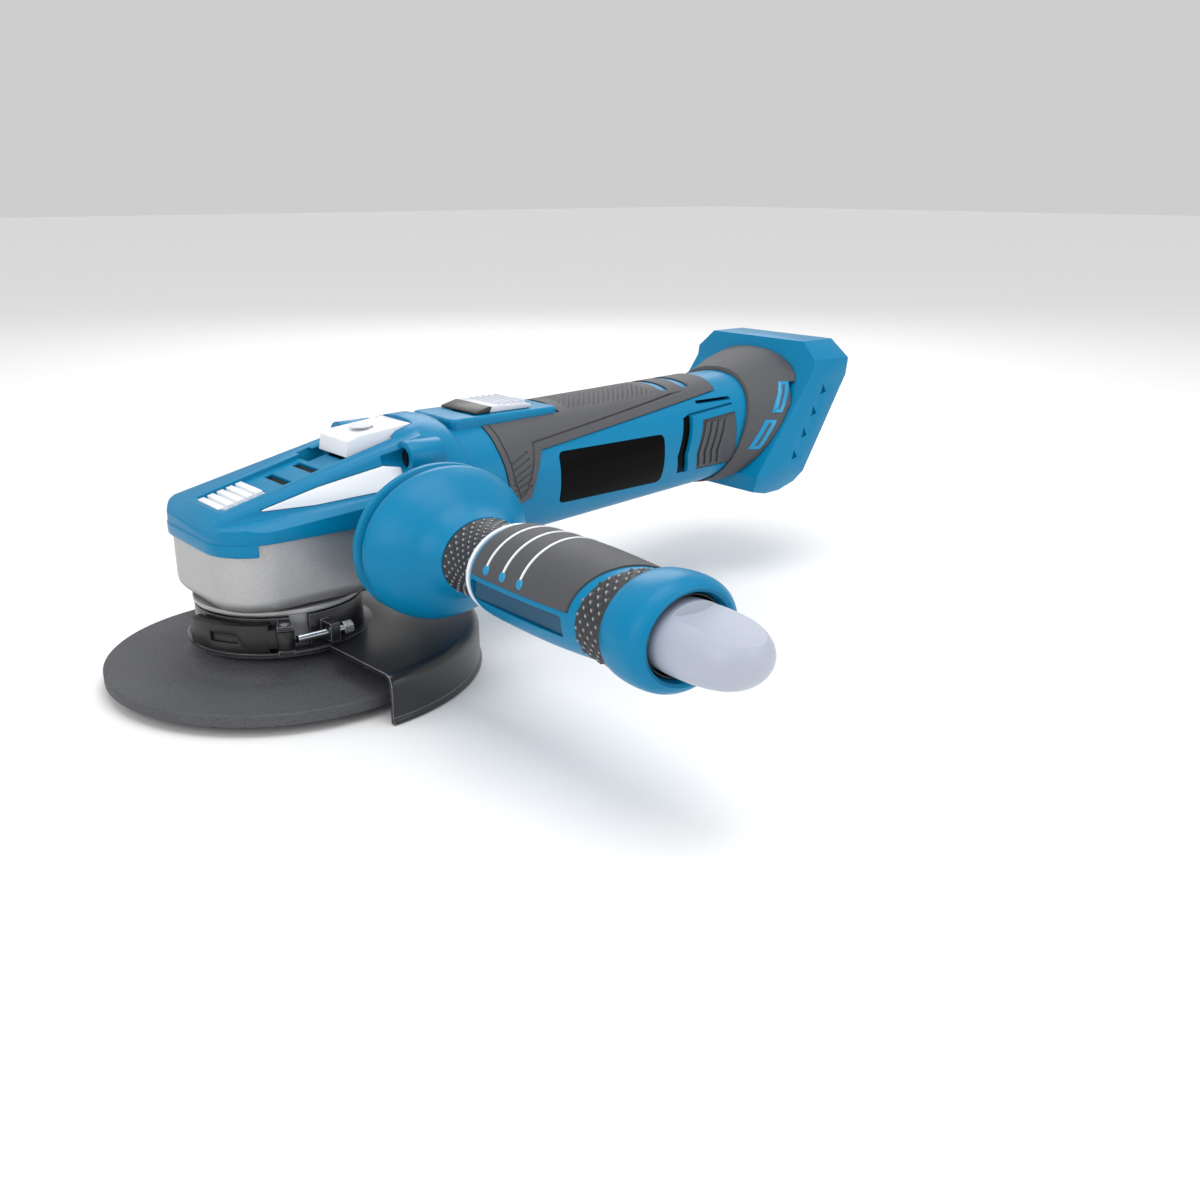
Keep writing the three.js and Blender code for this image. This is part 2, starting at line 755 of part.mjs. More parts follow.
function guard() {
  const wall = guardRadius - guardSheet;
  const bend = 2.5;
  const dish = turned("z", [
    [bandInner + fit, guardPlateZ],
    [wall - bend, guardPlateZ],
    [wall, guardPlateZ - bend],
    [wall, -guardSkirt],
    [guardRadius + 0.6, -guardSkirt],
    [guardRadius + 0.6, -guardSkirt + 1.6],
    [guardRadius, -guardSkirt + 2.2],
    [guardRadius, guardPlateZ - bend + 0.6],
    [guardRadius - bend, guardTop],
    [bandInner + fit, guardTop],
  ], [0, 0, 0], 40);
  const size = 2 * guardRadius;
  const half = box(0, size, -size, size, -size, size).rotate([0, 0, (guardTurn * 180) / Math.PI]);
  const collar = tube("z", bandInner + fit, bandOuter + 3, guardPlateZ, guardTop, [0, 0, 0], 36);
  return joined(dish.intersect(half), collar);
}

// A place around the spindle, from a radius and an angle in degrees.
function around(radius, degrees) {
  const angle = (degrees * Math.PI) / 180;
  return [radius * Math.cos(angle), radius * Math.sin(angle), 0];
}

// Part of a ring about the spindle between two angles in degrees.
function sector(inner, outer, bottom, top, start, end) {
  const steps = Math.max(2, Math.round(Math.abs(end - start) / 6));
  const arc = (radius, from, to) => Array.from({ length: steps + 1 }, (_, i) => {
    const [x, y] = around(radius, from + ((to - from) * i) / steps);
    return [x, y];
  });
  return prism("z", [...arc(outer, start, end), ...arc(inner, end, start)], bottom, top);
}

const leverPinPlace = around(32.4, -113);
const leverPinRadius = 1.3;
const screwZ = 14;
const bandGap = { start: -109, end: -96 };

function clampBand() {
  const ring = tube("z", bandInner, bandOuter, bandBottom, bandTop, [0, 0, 0], 36);
  const { start, end } = bandGap;
  const gap = sector(bandInner - 2, bandOuter + 2, bandBottom - 1, bandTop + 1, start, end);
  const hookEar = sector(bandOuter - 0.4, bandOuter + 6.2, screwZ - 3, screwZ + 3, -88, -82);
  const low = sector(bandOuter - 0.4, 34.6, bandBottom + 0.4, bandBottom + 1.9, -117, -109);
  const high = sector(bandOuter - 0.4, 34.6, bandTop - 1.9, bandTop - 0.4, -117, -109);
  const pinHole = rod("z", leverPinRadius + fit, 0, 30, leverPinPlace, 16);
  const screwHole = rod("x", 1.5, -10, 20, [0, -31.2, screwZ], 16);
  return without(joined(without(ring, gap), hookEar, low, high), pinHole, screwHole);
}

const leverBottom = bandBottom + 2.2;
const leverTop = bandTop - 2.2;

function clampLever() {
  const arm = sector(bandOuter + 0.8, bandOuter + 4.6, leverBottom - 1.4, leverTop + 1.4, -176, -122);
  const link = sector(bandOuter + 0.8, bandOuter + 5.2, leverBottom, leverTop, -123, -114);
  const knuckle = rod("z", 2.8, leverBottom, leverTop, leverPinPlace, 24);
  const window = sector(bandOuter + 3.4, bandOuter + 8, leverBottom + 1.4, leverTop - 1.4, -158, -140);
  const pinHole = rod("z", leverPinRadius + fit, 0, 30, leverPinPlace, 16);
  return without(joined(arm, link, knuckle), window, pinHole);
}

function clampScrew() {
  const shank = rod("x", 1.2, leverPinPlace[0] + 3.4, 6.5, [0, -31.2, screwZ], 16);
  const nut = rod("x", 2.3, 6.2, 9.4, [0, -31.2, screwZ], 6);
  return joined(shank, nut);
}

// ================================================================ motor

const motorAxis = [0, 0, motorZ];
const motorCapFront = motorRear - 9;

function rotorShaft() {
  return rod("x", shaftRadius, 10, motorRear + 3, motorAxis, 24);
}

function rotorCore() {
  const core = tube("x", shaftRadius + fit, rotorRadius, motorFront + 6, motorFront + 32, motorAxis, 32);
  const slots = Array.from({ length: 5 }, (_, i) => {
    const angle = (2 * Math.PI * i) / 5;
    const slot = box(motorFront, motorRear, -0.9, 0.9, 5.2, rotorRadius + 2);
    return slot.rotate([(angle * 180) / Math.PI, 0, 0]).translate([0, 0, motorZ]);
  });
  return without(core, ...slots);
}

function commutator() {
  const from = motorFront + 35;
  return tube("x", shaftRadius + fit, commutatorRadius, from, from + 9, motorAxis, 24);
}

function coolingFan() {
  const hub = tube("x", shaftRadius + fit, 7, fanFront + 2, fanRear, motorAxis, 32);
  const plate = tube("x", 6.5, fanRadius, fanRear - 1.6, fanRear, motorAxis, 32);
  const blades = Array.from({ length: 10 }, (_, i) => {
    const blade = box(fanFront + 2, fanRear - 1, -0.6, 0.6, 6.5, fanRadius - 0.3);
    return blade.rotate([36 * i, 0, 0]).translate([0, 0, motorZ]);
  });
  return joined(hub, plate, ...blades);
}

function motorCan() {
  const shell = tube("x", canRadius - canWall, canRadius, motorFront, motorCapFront, motorAxis, 32);
  const frontWall = tube("x", 5, canRadius - 0.5, motorFront, motorFront + 2, motorAxis, 32);
  const vents = [0, 1, 2].map((i) => {
    const vent = box(motorFront + 5, motorFront + 14, -3, 3, canRadius - 4, canRadius + 4);
    return vent.rotate([60 + 120 * i, 0, 0]).translate([0, 0, motorZ]);
  });
  return without(joined(shell, frontWall), ...vents);
}

function magnet() {
  const outer = canRadius - canWall - fit;
  const inner = outer - magnetThickness;
  const ring = tube("x", inner, outer, motorFront + 12, motorFront + 35, motorAxis, 32);
  return ring.intersect(box(motorFront, motorRear, -40, -inner * 0.55, 0, 90));
}

function motorEndCap() {
  const plate = turned("x", [
    [shaftRadius + 1.5, motorCapFront + fit],
    [canRadius, motorCapFront + fit],
    [canRadius, motorRear - 3],
    [rearBearingRadius + 2, motorRear - 3],
    [rearBearingRadius + 2, motorRear],
    [rearBearingRadius + running, motorRear],
    [rearBearingRadius + running, motorRear - 5.4],
    [shaftRadius + 1.5, motorRear - 5.4],
  ], motorAxis, 32);
  return plate;
}

function brush() {
  const from = motorFront + 37;
  return box(from, from + 5, -brushReach, -commutatorRadius - fit, motorZ - 2.5, motorZ + 2.5);
}

// ================================================================ body

function bodyAt(x) {
  const share = (x - bodyNear.x) / (bodyFar.x - bodyNear.x);
  const mix = (key) => bodyNear[key] + share * (bodyFar[key] - bodyNear[key]);
  return { z: mix("z"), halfWidth: mix("halfWidth"), halfHeight: mix("halfHeight") };
}

// The body's oval tube, grown or shrunk all round by `grow`.
function bodyTube(from, to, grow) {
  const ringAt = (x) => {
    const { z, halfWidth, halfHeight } = bodyAt(x);
    return ovalRing(x, z, halfWidth + grow, halfHeight + grow);
  };
  return loft([ringAt(from), ringAt((from + to) / 2), ringAt(to)]);
}

function rubberOutline(grow) {
  return [
    [74 - grow, 90],
    [74 - grow, 62],
    [75.5 - grow, 50],
    [78 - grow, 41.5 - grow],
    [85 + grow, 43.5 - grow],
    [88 + grow, 52],
    [91.5 + grow, 59.5 - grow],
    [rubberRear - 2 + grow, 70.2 - grow],
    [rubberRear + grow, 74],
    [rubberRear + grow, 90],
  ];
}

// The windows in the rubber, made smaller all round by `shrink`.
function windowBlocks(shrink) {
  const { places, length, halfWidth } = rubberWindows;
  return places.map((x) => {
    const side = halfWidth - shrink;
    return box(x + shrink, x + length - shrink, -side, side, 60, 90);
  });
}

function gripRubber() {
  const skin = without(
    bodyTube(70, rubberRear + 3, rubberProud),
    bodyTube(69, rubberRear + 4, -rubberDepth + fit),
  );
  const outline = prism("y", rubberOutline(0), -50, 50);
  const padHalf = switchPad.halfWidth + fit;
  const padRoom = box(60, switchPad.rear + fit, -padHalf, padHalf, 50, 90);
  return without(skin.intersect(outline), padRoom, ...windowBlocks(0));
}

function panelBlock(size, grow) {
  return box(size.front - grow, size.rear + grow, -60, -10, size.bottom - grow, size.top + grow);
}

function sideLabel() {
  const { front, rear } = labelSize;
  const skin = without(
    bodyTube(front - 9, rear + 10, labelProud),
    bodyTube(front - 10, rear + 11, -recessDepth + fit),
  );
  return skin.intersect(panelBlock(labelSize, 0));
}

function ventPanel() {
  const start = ventSize.front - 15;
  const plate = without(
    bodyTube(start, bodyRear - 1, ventProud),
    bodyTube(start - 1, bodyRear, -recessDepth + fit),
  );
  const grooves = [0, 1, 2, 3].map((i) => {
    const x = ventSize.front + 4 + i * 4;
    const cut = without(bodyTube(start - 1, bodyRear, 3), bodyTube(start - 2, bodyRear + 0.5, 0.1));
    return cut.intersect(box(x, x + 1.4, -60, -10, ventSize.bottom + 2, ventSize.top - 2));
  });
  return without(plate.intersect(panelBlock(ventSize, 0)), ...grooves);
}

function bodyShell() {
  const pad = box(
    switchPad.front, switchPad.rear, -switchPad.halfWidth, switchPad.halfWidth, 62, switchPad.top,
  );
  const outer = joined(bodyTube(bodyFront, bodyRear, 0), pad);
  const hollow = bodyTube(bodyFront - 1, bodyRear + 1, -bodyWall);
  const rubberRoom = without(
    bodyTube(70, rubberRear + 3, 4),
    bodyTube(69, rubberRear + 4, -rubberDepth),
  )
    .intersect(prism("y", rubberOutline(fit), -50, 50));
  const rubberCut = without(
    rubberRoom,
    box(60, switchPad.rear, -switchPad.halfWidth, switchPad.halfWidth, 50, 90),
    ...windowBlocks(fit),
  );
  const recess = (size) => without(
    bodyTube(labelSize.front - 9, bodyRear - 0.1, 4),
    bodyTube(labelSize.front - 10, bodyRear + 1, -recessDepth),
  ).intersect(panelBlock(size, fit));
  const stemSlot = box(
    slider.front + 8 - sliderTravel - slideGap, slider.rear - 8 + slideGap,
    -sliderStem - slideGap, sliderStem + slideGap, 60, 90,
  );
  const nearHalf = box(0, bodyRear + 100, -60, -fit / 2, 0, 120);
  return without(outer, hollow, rubberCut, recess(labelSize), recess(ventSize), stemSlot)
    .intersect(nearHalf);
}

function bodyShellRight() {
  return mirrored(bodyShell());
}

// ================================================================ slide switch and electronics

const rodZ = 66;
const unitFront = bodyRear - 62;
const boardFront = bodyRear - 35;

function slideSwitch() {
  const { front, rear, halfWidth, thickness } = slider;
  const bottom = switchPad.top + fit;
  const plate = prism("y", [
    [front, bottom],
    [rear, bottom],
    [rear, bottom + thickness * 0.6],
    [rear - 2, bottom + thickness * 0.8],
    [front + 8, bottom + thickness],
    [front, bottom + 0.8],
  ], -halfWidth, halfWidth);
  const ribs = Array.from({ length: 5 }, (_, i) => {
    const x = front + 10 + i * 2.6;
    return box(x, x + 1.2, -halfWidth + 1, halfWidth - 1, bottom + 0.5, bottom + thickness + 0.5);
  });
  const stem = box(front + 8, rear - 8, -sliderStem, sliderStem, rodZ + 1.2 + fit, bottom + 0.5);
  return joined(plate, stem, ...ribs);
}

function switchRod() {
  return box(slider.front + 9, unitFront - 1, -2.6, 2.6, rodZ - 1.2, rodZ + 1.2);
}

function switchUnit() {
  const body = box(unitFront, unitFront + 22, -8.5, 8.5, 42, 63);
  const nose = box(unitFront - 3, unitFront + 1, -2, 2, 58, 62);
  return joined(body, nose);
}

function controlBoard() {
  const board = box(boardFront, boardFront + 28, -13, 13, 50, 51.6);
  const coil = rod("z", 4, 51, 60, [boardFront + 8, 5, 0], 24);
  const chip = box(boardFront + 16, boardFront + 24, -9, -1, 51, 54);
  return joined(board, coil, chip);
}

// ================================================================ battery foot

// Moves a piece drawn square to the battery face into place: its +X leaves the face, its +Z
// climbs it, and its origin is the face's lower edge.
function onFace(solid) {
  return solid
    .rotate([0, (footLean * 180) / Math.PI, 0])
    .translate([footFace.x, 0, footFace.z]);
}

function faceCorner(up) {
  return [footFace.x + up * Math.sin(footLean), footFace.z + up * Math.cos(footLean)];
}

function footProfile() {
  const [topX, topZ] = faceCorner(footFace.rise);
  return [
    [bandFoot.x, bandFoot.z],
    [bandFoot.x + 1.5, 29],
    [bandFoot.x + 10, 27],
    [footFace.x - 7, 27.4],
    [footFace.x, footFace.z],
    [topX, topZ],
    [topX + 1, footTop - 8],
    [topX - 1, footTop],
    [bandFoot.x + bandFoot.slope * bandFoot.rise + 2, footTop],
    [bandFoot.x + bandFoot.slope * bandFoot.rise, bandFoot.z + bandFoot.rise],
  ];
}

function batteryFoot() {
  const w = footHalfWidth;
  const section = [
    [-w, 35], [-w + 5, 26], [w - 5, 26], [w, 35],
    [w, footTop - 7], [footTopHalfWidth, footTop + 0.1],
    [-footTopHalfWidth, footTop + 0.1], [-w, footTop - 7],
  ];
  const block = without(
    prism("y", footProfile(), -40, 40).intersect(prism("x", section, bodyRear - 23, bodyRear + 57)),
    bodyTube(bodyRear - 23, bodyRear + fit, fit),
  );
  const pocket = onFace(box(-pocketDepth, 20, -pocketHalfWidth, pocketHalfWidth, -30, footFace.rise - 8));
  const railBox = box(-3.2, 0, -pocketHalfWidth - 1, -pocketHalfWidth + railInset, 2, footFace.rise - 8);
  const rail = onFace(railBox);
  const wireHole = rod("x", wireHoleRadius, bodyRear - 13, bodyRear + 37, [0, 0, flareMiddle - 0.5], 24);
  const notches = [0, 1, 2, 3].map((i) => {
    const [x, z] = faceCorner(8 + i * 10);
    return prism("y", [[x - 9, z + 3], [x - 5.5, z + 4], [x - 7.5, z + 7.5]], -w - 1, -w + 1.4);
  });
  const hollow = without(block, pocket, wireHole, ...notches, ...notches.map(mirrored));
  return joined(hollow, rail, mirrored(rail));
}

// The dark flare between the body tube and the foot: a hollow skin that leans at both ends.
function flareRing(share, grow) {
  const { z, halfWidth, halfHeight } = bodyAt(bodyRear);
  const startWidth = halfWidth + flareStep + grow;
  const startHeight = halfHeight + flareStep + grow;
  const eased = share * share * (3 - 2 * share);
  const riseAt = (height) => Math.min(height - bandFoot.z, bandFoot.rise);
  const endX = (height) => bandFoot.x - 2 * fit + bandFoot.slope * riseAt(height);
  return ovalRing(bodyRear, z, startWidth, startHeight).map(([x, y, height]) => {
    const startX = x - flareLean * (z + startHeight - height);
    const endY = (y / startWidth) * (footHalfWidth - 1.5 + grow);
    const endZ = flareMiddle + ((height - z) / startHeight) * (flareHalfHeight + grow);
    return [
      startX + share * (endX(endZ) - startX),
      y + eased * (endY - y),
      height + eased * (endZ - height),
    ];
  });
}

// Two slanting windows in each side of the flare: lower end, then upper end.
const flareWindows = [
  [bodyRear + 10.5, 62.5, bodyRear + 14, 71.5],
  [bodyRear + 2, 47, bodyRear + 7.5, 57],
];

function footRubber() {
  const shares = [0, 1 / 3, 2 / 3, 1];
  const outer = loft(shares.map((share) => flareRing(share, 0)));
  const inner = loft([-0.05, ...shares.slice(1, -1), 1.05].map((share) => flareRing(share, -flareWall)));
  const windows = flareWindows.map(([x0, z0, x1, z1]) =>
    prism("y", [[x0, z0], [x0 + 3, z0], [x1 + 3, z1], [x1, z1]], -40, -20));
  const tubeRoom = bodyTube(bodyRear - 33, bodyRear + fit, fit);
  return without(outer, inner, tubeRoom, ...windows, ...windows.map(mirrored));
}

function terminalBlock() {
  return onFace(box(-pocketDepth + fit, -3.4, -15, 15, footFace.rise - 19, footFace.rise - 8 - fit));
}

function terminal() {
  return onFace(box(-pocketDepth + 2, -4.4, -8.4, -7.4, footFace.rise - 29, footFace.rise - 19 - fit));
}

// ================================================================ side handle

// A turned piece of the handle, flattened to its oval: [radius, distance from the tool's middle].
function handleTurned(outline, flatness = handleFlatness, sides = 24) {
  const points = [...outline, outline[0]].map(([r, t]) => new THREE.Vector2(r, -t));
  const geometry = new THREE.LatheGeometry(points, sides);
  geometry.scale(1, 1, flatness);
  geometry.translate(handleX, 0, handleZ);
  return toSolid(geometry);
}

const studHole = studRadius + 0.4;
const handleBack = bossReach + 2 * fit + washerThickness;

function handleStud() {
  const thread = rod("y", studRadius, -neckStart + 10, -studInner, [handleX, 0, handleZ], 32);
  const hex = rod("y", studRadius + 3.5, -neckStart + 10, -neckStart + 18, [handleX, 0, handleZ], 6);
  return joined(thread, hex);
}

function handleWasher() {
  const from = -bossReach - fit - washerThickness;
  const centre = [handleX, 0, handleZ];
  return tube("y", studRadius + fit, bossRadius - 1, from, from + washerThickness, centre, 32);
}

function handleFlange() {
  const body = handleTurned([
    [0, handleBack],
    [12, handleBack],
    [13, 44.5],
    [rimRadius - 1.5, 46],
    [rimRadius, 47],
    [rimRadius, 48.4],
    [rimRadius - 1.4, 49.2],
    [rimRadius - 5, 49.6],
    [rimRadius - 5, 51.2],
    [rimRadius - 1.2, 51.6],
    [rimRadius, 53],
    [rimRadius - 0.4, 55],
    [rimRadius - 3, 59],
    [rimRadius - 7.5, 63.5],
    [rimRadius - 12, 67.5],
    [rimRadius - 14.8, neckStart - fit],
    [0, neckStart - fit],
  ]);
  const bore = rod("y", studHole, -neckStart + 9, -30, [handleX, 0, handleZ], 32);
  const hexRoom = rod("y", studRadius + 4, -neckStart - 1, -neckStart + 18.4, [handleX, 0, handleZ], 6);
  return without(body, bore, hexRoom);
}

function handleNeck() {
  return handleTurned([
    [0, neckStart],
    [14.2, neckStart],
    [13.4, neckStart + 5],
    [13.8, neckStart + 10],
    [15, gripStart - fit],
    [0, gripStart - fit],
  ]);
}

const gripOutline = [
  [15.6, gripStart],
  [16.6, gripStart + 2],
  [17.4, gripStart + 16],
  [17.5, gripStart + 34],
  [16.6, gripEnd - 10],
  [15.8, gripEnd],
];

// The grip's outline grown or shrunk all round, for its core and for the pad let into it.
function gripSolid(grow) {
  return handleTurned([
    [0, gripStart],
    ...gripOutline.map(([r, t]) => [r + grow, t]),
    [0, gripEnd],
  ]);
}

// The pad covers the grip's upper half, and tapers to a point towards its end.
function padRoom(grow) {
  const outline = [
    [handleX - 25, -gripStart - 4 + grow],
    [handleX + 25, -gripStart - 4 + grow],
    [handleX + 25, -gripEnd + 3 - grow],
    [handleX + 8, -gripEnd + 3 - grow],
    [handleX - 25, -gripEnd + 16 - grow],
  ];
  return prism("z", outline, handleZ + 2.6 - grow, handleZ + 40);
}

function handleCore() {
  const skin = without(gripSolid(4), gripSolid(-1.2));
  const channel = box(
    handleX - 30, handleX - 15.2, -gripEnd + 12, -gripStart - 4, handleZ - 4.5, handleZ + 0.6,
  );
  return without(gripSolid(0), skin.intersect(padRoom(fit)), channel);
}

function handlePad() {
  return without(gripSolid(0.5), gripSolid(-1.2 + fit)).intersect(padRoom(0));
}

const mouthFloor = gripEnd + 5; // how deep the ring's mouth goes

function handleRing() {
  return handleTurned([
    [0, gripEnd + fit],
    [16.4, gripEnd + fit],
    [18.4, gripEnd + 3],
    [19, gripEnd + 8],
    [18.6, gripEnd + 13],
    [16.6, ringEnd],
    [14.4, ringEnd - 0.6],
    [13, ringEnd - 4],
    [13, mouthFloor],
    [0, mouthFloor],
  ]);
}

function handleEndCap() {
  const tongue = handleTurned([
    [0, mouthFloor + fit],
    [11.6, mouthFloor + fit],
    [12.2, ringEnd + 2],
    [11.8, ringEnd + 10],
    [10, capEnd - 7],
    [6, capEnd - 1.6],
    [0, capEnd],
  ], 0.8);
  const scoop = rod("y", 26, -capEnd - 5, -ringEnd - 2, [handleX, 0, handleZ + 32.2], 64);
  return without(tongue, scoop);
}

// ================================================================ the tool

const blue = finish(0x0784b1, 0.32, 0);
const castAluminium = finish(0x9d9d9e, 0.5, 0.85);
const steel = finish(0x9a9ca0, 0.3, 0.9);
const darkSteel = finish(0x2c2e31, 0.4, 0.6);
const rubber = finish(0x4a4b4f, 0.75, 0);
const black = finish(0x0c0c0d, 0.35, 0);
const white = finish(0xe6e8ee, 0.35, 0);
const grey = finish(0x9fa5b1, 0.4, 0);
const abrasive = finish(0x55565a, 0.9, 0);
const copper = finish(0xb87348, 0.4, 0.9);
const board = finish(0x1f6b3a, 0.5, 0);
const magnetGrey = finish(0x4c4c50, 0.6, 0.3);

function finish(colour, roughness, metalness) {
  return new THREE.MeshStandardMaterial({ color: colour, roughness, metalness });
}

const grinder = new THREE.Group();
const lifted = new THREE.Group();
lifted.position.z = -spindleNose;
grinder.add(lifted);

function add(name, solid, material) {
  const { numProp, vertProperties, triVerts } = solid.getMesh();
  const geometry = new THREE.BufferGeometry();
  const places = new THREE.BufferAttribute(new Float32Array(vertProperties), numProp);
  geometry.setAttribute("position", places);
  geometry.setIndex(new THREE.BufferAttribute(new Uint32Array(triVerts), 1));
  const mesh = new THREE.Mesh(geometry, material);
  mesh.name = name;
  lifted.add(mesh);
}

// A piece on the left, and its mirror image on the right.
function addPair(name, solid, material) {
  add(name + "_left", solid, material);
  add(name + "_right", mirrored(solid), material);
}

add("gear_case", gearCase(), castAluminium);
add("gear_cover", gearCover(), blue);
add("vent_insert", slatInsert(), white);
addPair("side_insert", sideInsert(), white);
addPair("cover_screw", coverScrew(), steel);
add("lock_button", lockButton(), white);
add("lock_pin", lockPin(), steel);
add("lock_spring", coilSpring(springRadius - 0.5, 0.45, springBottom, 63.3, 4, springPlace), steel);

add("spindle", spindle(), steel);
add("ring_gear", ringGear(), steel);
add(
  "spindle_bearing_lower",
  bearing("z", journalRadius + running, bearingRadius, bearingBottom, bearingTop),
  steel,
);
add(
  "spindle_bearing_upper",
  bearing("z", topJournalRadius + running, topBearingRadius, topBearingBottom, topBearingTop), steel,
);
add("bearing_retainer", bearingRetainer(), castAluminium);
add("inner_flange", innerFlange(), steel);
add("grinding_disc", grindingDisc(), abrasive);
add("lock_nut", lockNut(), steel);

add("guard", guard(), darkSteel);
add("guard_clamp_band", clampBand(), darkSteel);
add("guard_lever", clampLever(), black);
add(
  "guard_lever_pin",
  rod("z", leverPinRadius, bandBottom + 0.2, bandTop - 0.2, leverPinPlace, 20), steel,
);
add("guard_clamp_screw", clampScrew(), steel);

add("pinion", pinion(), steel);
add("rotor_shaft", rotorShaft(), steel);
add("rotor_core", rotorCore(), darkSteel);
add("commutator", commutator(), copper);
add("cooling_fan", coolingFan(), black);
add(
  "shaft_bearing_front",
  bearing("x", shaftRadius + running, shaftBearingRadius, caseRear - shaftBearingLength, caseRear, motorAxis),
  steel,
);
add(
  "shaft_bearing_rear",
  bearing("x", shaftRadius + running, rearBearingRadius, motorRear - 5.2, motorRear - 0.2, motorAxis), steel,
);
add("motor_can", motorCan(), darkSteel);
addPair("motor_magnet", magnet(), magnetGrey);
add("motor_end_cap", motorEndCap(), black);
addPair("motor_brush", brush(), magnetGrey);

addPair("body_shell", bodyShell(), blue);
add("grip_rubber", gripRubber(), rubber);
addPair("label_plate", sideLabel(), black);
addPair("vent_panel", ventPanel(), rubber);
add("slide_switch", slideSwitch(), white);
add("switch_rod", switchRod(), black);
add("switch_unit", switchUnit(), black);
add("control_board", controlBoard(), board);
add("battery_foot", batteryFoot(), blue);
add("foot_rubber", footRubber(), rubber);
add("terminal_block", terminalBlock(), black);
addPair("terminal", terminal(), copper);

add("handle_stud", handleStud(), steel);
add("handle_washer", handleWasher(), steel);
add("handle_flange", handleFlange(), blue);
add("handle_neck", handleNeck(), rubber);
add("handle_core", handleCore(), blue);
add("handle_pad", handlePad(), rubber);
add("handle_ring", handleRing(), blue);
add("handle_end_cap", handleEndCap(), grey);

export default grinder;
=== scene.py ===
# %% [markdown]
# # A cordless angle grinder
# The working model already holds every part at its true place and size, and moves it.
# This script gives those parts their visible skins: moulded nylon, rubber, cast metal and grit.

# %% Load the working model
import json
import math

import bpy
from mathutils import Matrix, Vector

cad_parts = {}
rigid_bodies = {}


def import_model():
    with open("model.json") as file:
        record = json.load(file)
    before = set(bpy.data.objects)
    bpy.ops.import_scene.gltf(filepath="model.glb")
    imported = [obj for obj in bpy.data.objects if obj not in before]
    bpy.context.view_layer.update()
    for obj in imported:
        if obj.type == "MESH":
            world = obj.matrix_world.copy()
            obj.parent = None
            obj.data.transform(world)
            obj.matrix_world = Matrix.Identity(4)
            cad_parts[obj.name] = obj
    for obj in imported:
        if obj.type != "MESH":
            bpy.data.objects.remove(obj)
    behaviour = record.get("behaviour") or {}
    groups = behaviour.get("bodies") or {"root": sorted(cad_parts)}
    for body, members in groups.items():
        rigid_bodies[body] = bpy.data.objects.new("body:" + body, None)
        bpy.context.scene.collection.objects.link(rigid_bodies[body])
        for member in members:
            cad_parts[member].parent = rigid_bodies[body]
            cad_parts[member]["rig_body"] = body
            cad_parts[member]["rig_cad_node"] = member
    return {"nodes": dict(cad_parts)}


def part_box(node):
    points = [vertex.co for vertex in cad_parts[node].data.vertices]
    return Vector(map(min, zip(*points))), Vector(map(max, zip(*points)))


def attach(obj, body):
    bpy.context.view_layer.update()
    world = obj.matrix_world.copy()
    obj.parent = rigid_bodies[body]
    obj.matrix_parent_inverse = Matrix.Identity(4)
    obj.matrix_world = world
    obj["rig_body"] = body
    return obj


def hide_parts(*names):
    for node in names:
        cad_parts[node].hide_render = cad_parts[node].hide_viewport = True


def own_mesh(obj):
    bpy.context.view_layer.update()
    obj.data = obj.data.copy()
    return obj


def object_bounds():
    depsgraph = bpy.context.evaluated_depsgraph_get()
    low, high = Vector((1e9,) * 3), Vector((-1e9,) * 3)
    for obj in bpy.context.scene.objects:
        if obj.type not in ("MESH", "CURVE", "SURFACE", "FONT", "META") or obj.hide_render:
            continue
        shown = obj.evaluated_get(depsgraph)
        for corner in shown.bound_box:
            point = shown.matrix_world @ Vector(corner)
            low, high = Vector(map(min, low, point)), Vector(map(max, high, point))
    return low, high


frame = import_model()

cad_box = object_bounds()
nodes = frame["nodes"]
print("parts in the working model:", len(nodes))

# %% [markdown]
# Everything is measured in millimetres here and turned to metres when it is placed.
# Heights are counted from the upper face of the grinding wheel, as a maker would measure the tool
# with the wheel on the bench, so one value lifts them all into the model's own frame.

# %% Millimetres and heights
MM = 0.001
WHEEL_THICKNESS = 4
wheel_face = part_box("grinding_disc")[0].z / MM + WHEEL_THICKNESS


def at(x, y, height):
    """A place on the tool in metres, from millimetres and a height over the wheel's upper face."""
    return Vector((x, y, height + wheel_face)) * MM


print("the wheel's upper face is", round(wheel_face, 2), "mm over the spindle's end")

# %% [markdown]
# The camera stands in front of the head on the side handle's side, a little above the tool.
# A moderately long lens keeps the near wheel from swelling, as a studio does for a tool this size.

# %% Camera
AZIMUTH = math.radians(-39.51)
ELEVATION = math.radians(18.81)
DISTANCE = 457.2
LENS = 36.8
aim = at(110.6, -34.3, 1.7)
away = Vector((
    math.sin(AZIMUTH) * math.cos(ELEVATION),
    -math.cos(AZIMUTH) * math.cos(ELEVATION),
    math.sin(ELEVATION),
))
camera_data = bpy.data.cameras.new("studio_camera")
camera_data.lens = LENS
camera_data.sensor_width = 36
camera_data.clip_start = 0.01
camera = bpy.data.objects.new("studio_camera", camera_data)
bpy.context.collection.objects.link(camera)
camera.location = aim + away * DISTANCE * MM
camera.rotation_mode = "QUATERNION"
camera.rotation_quaternion = (-away).to_track_quat("-Z", "Y")
bpy.context.scene.camera = camera

# %% [markdown]
# A plain pale floor and soft light from large lamps, as in a product studio. Large lamps give the
# long, soft highlights that make smooth nylon read as nylon.

# %% Floor and lights
PALE = 0.88
floor_height = cad_box[0].z - 0.0002


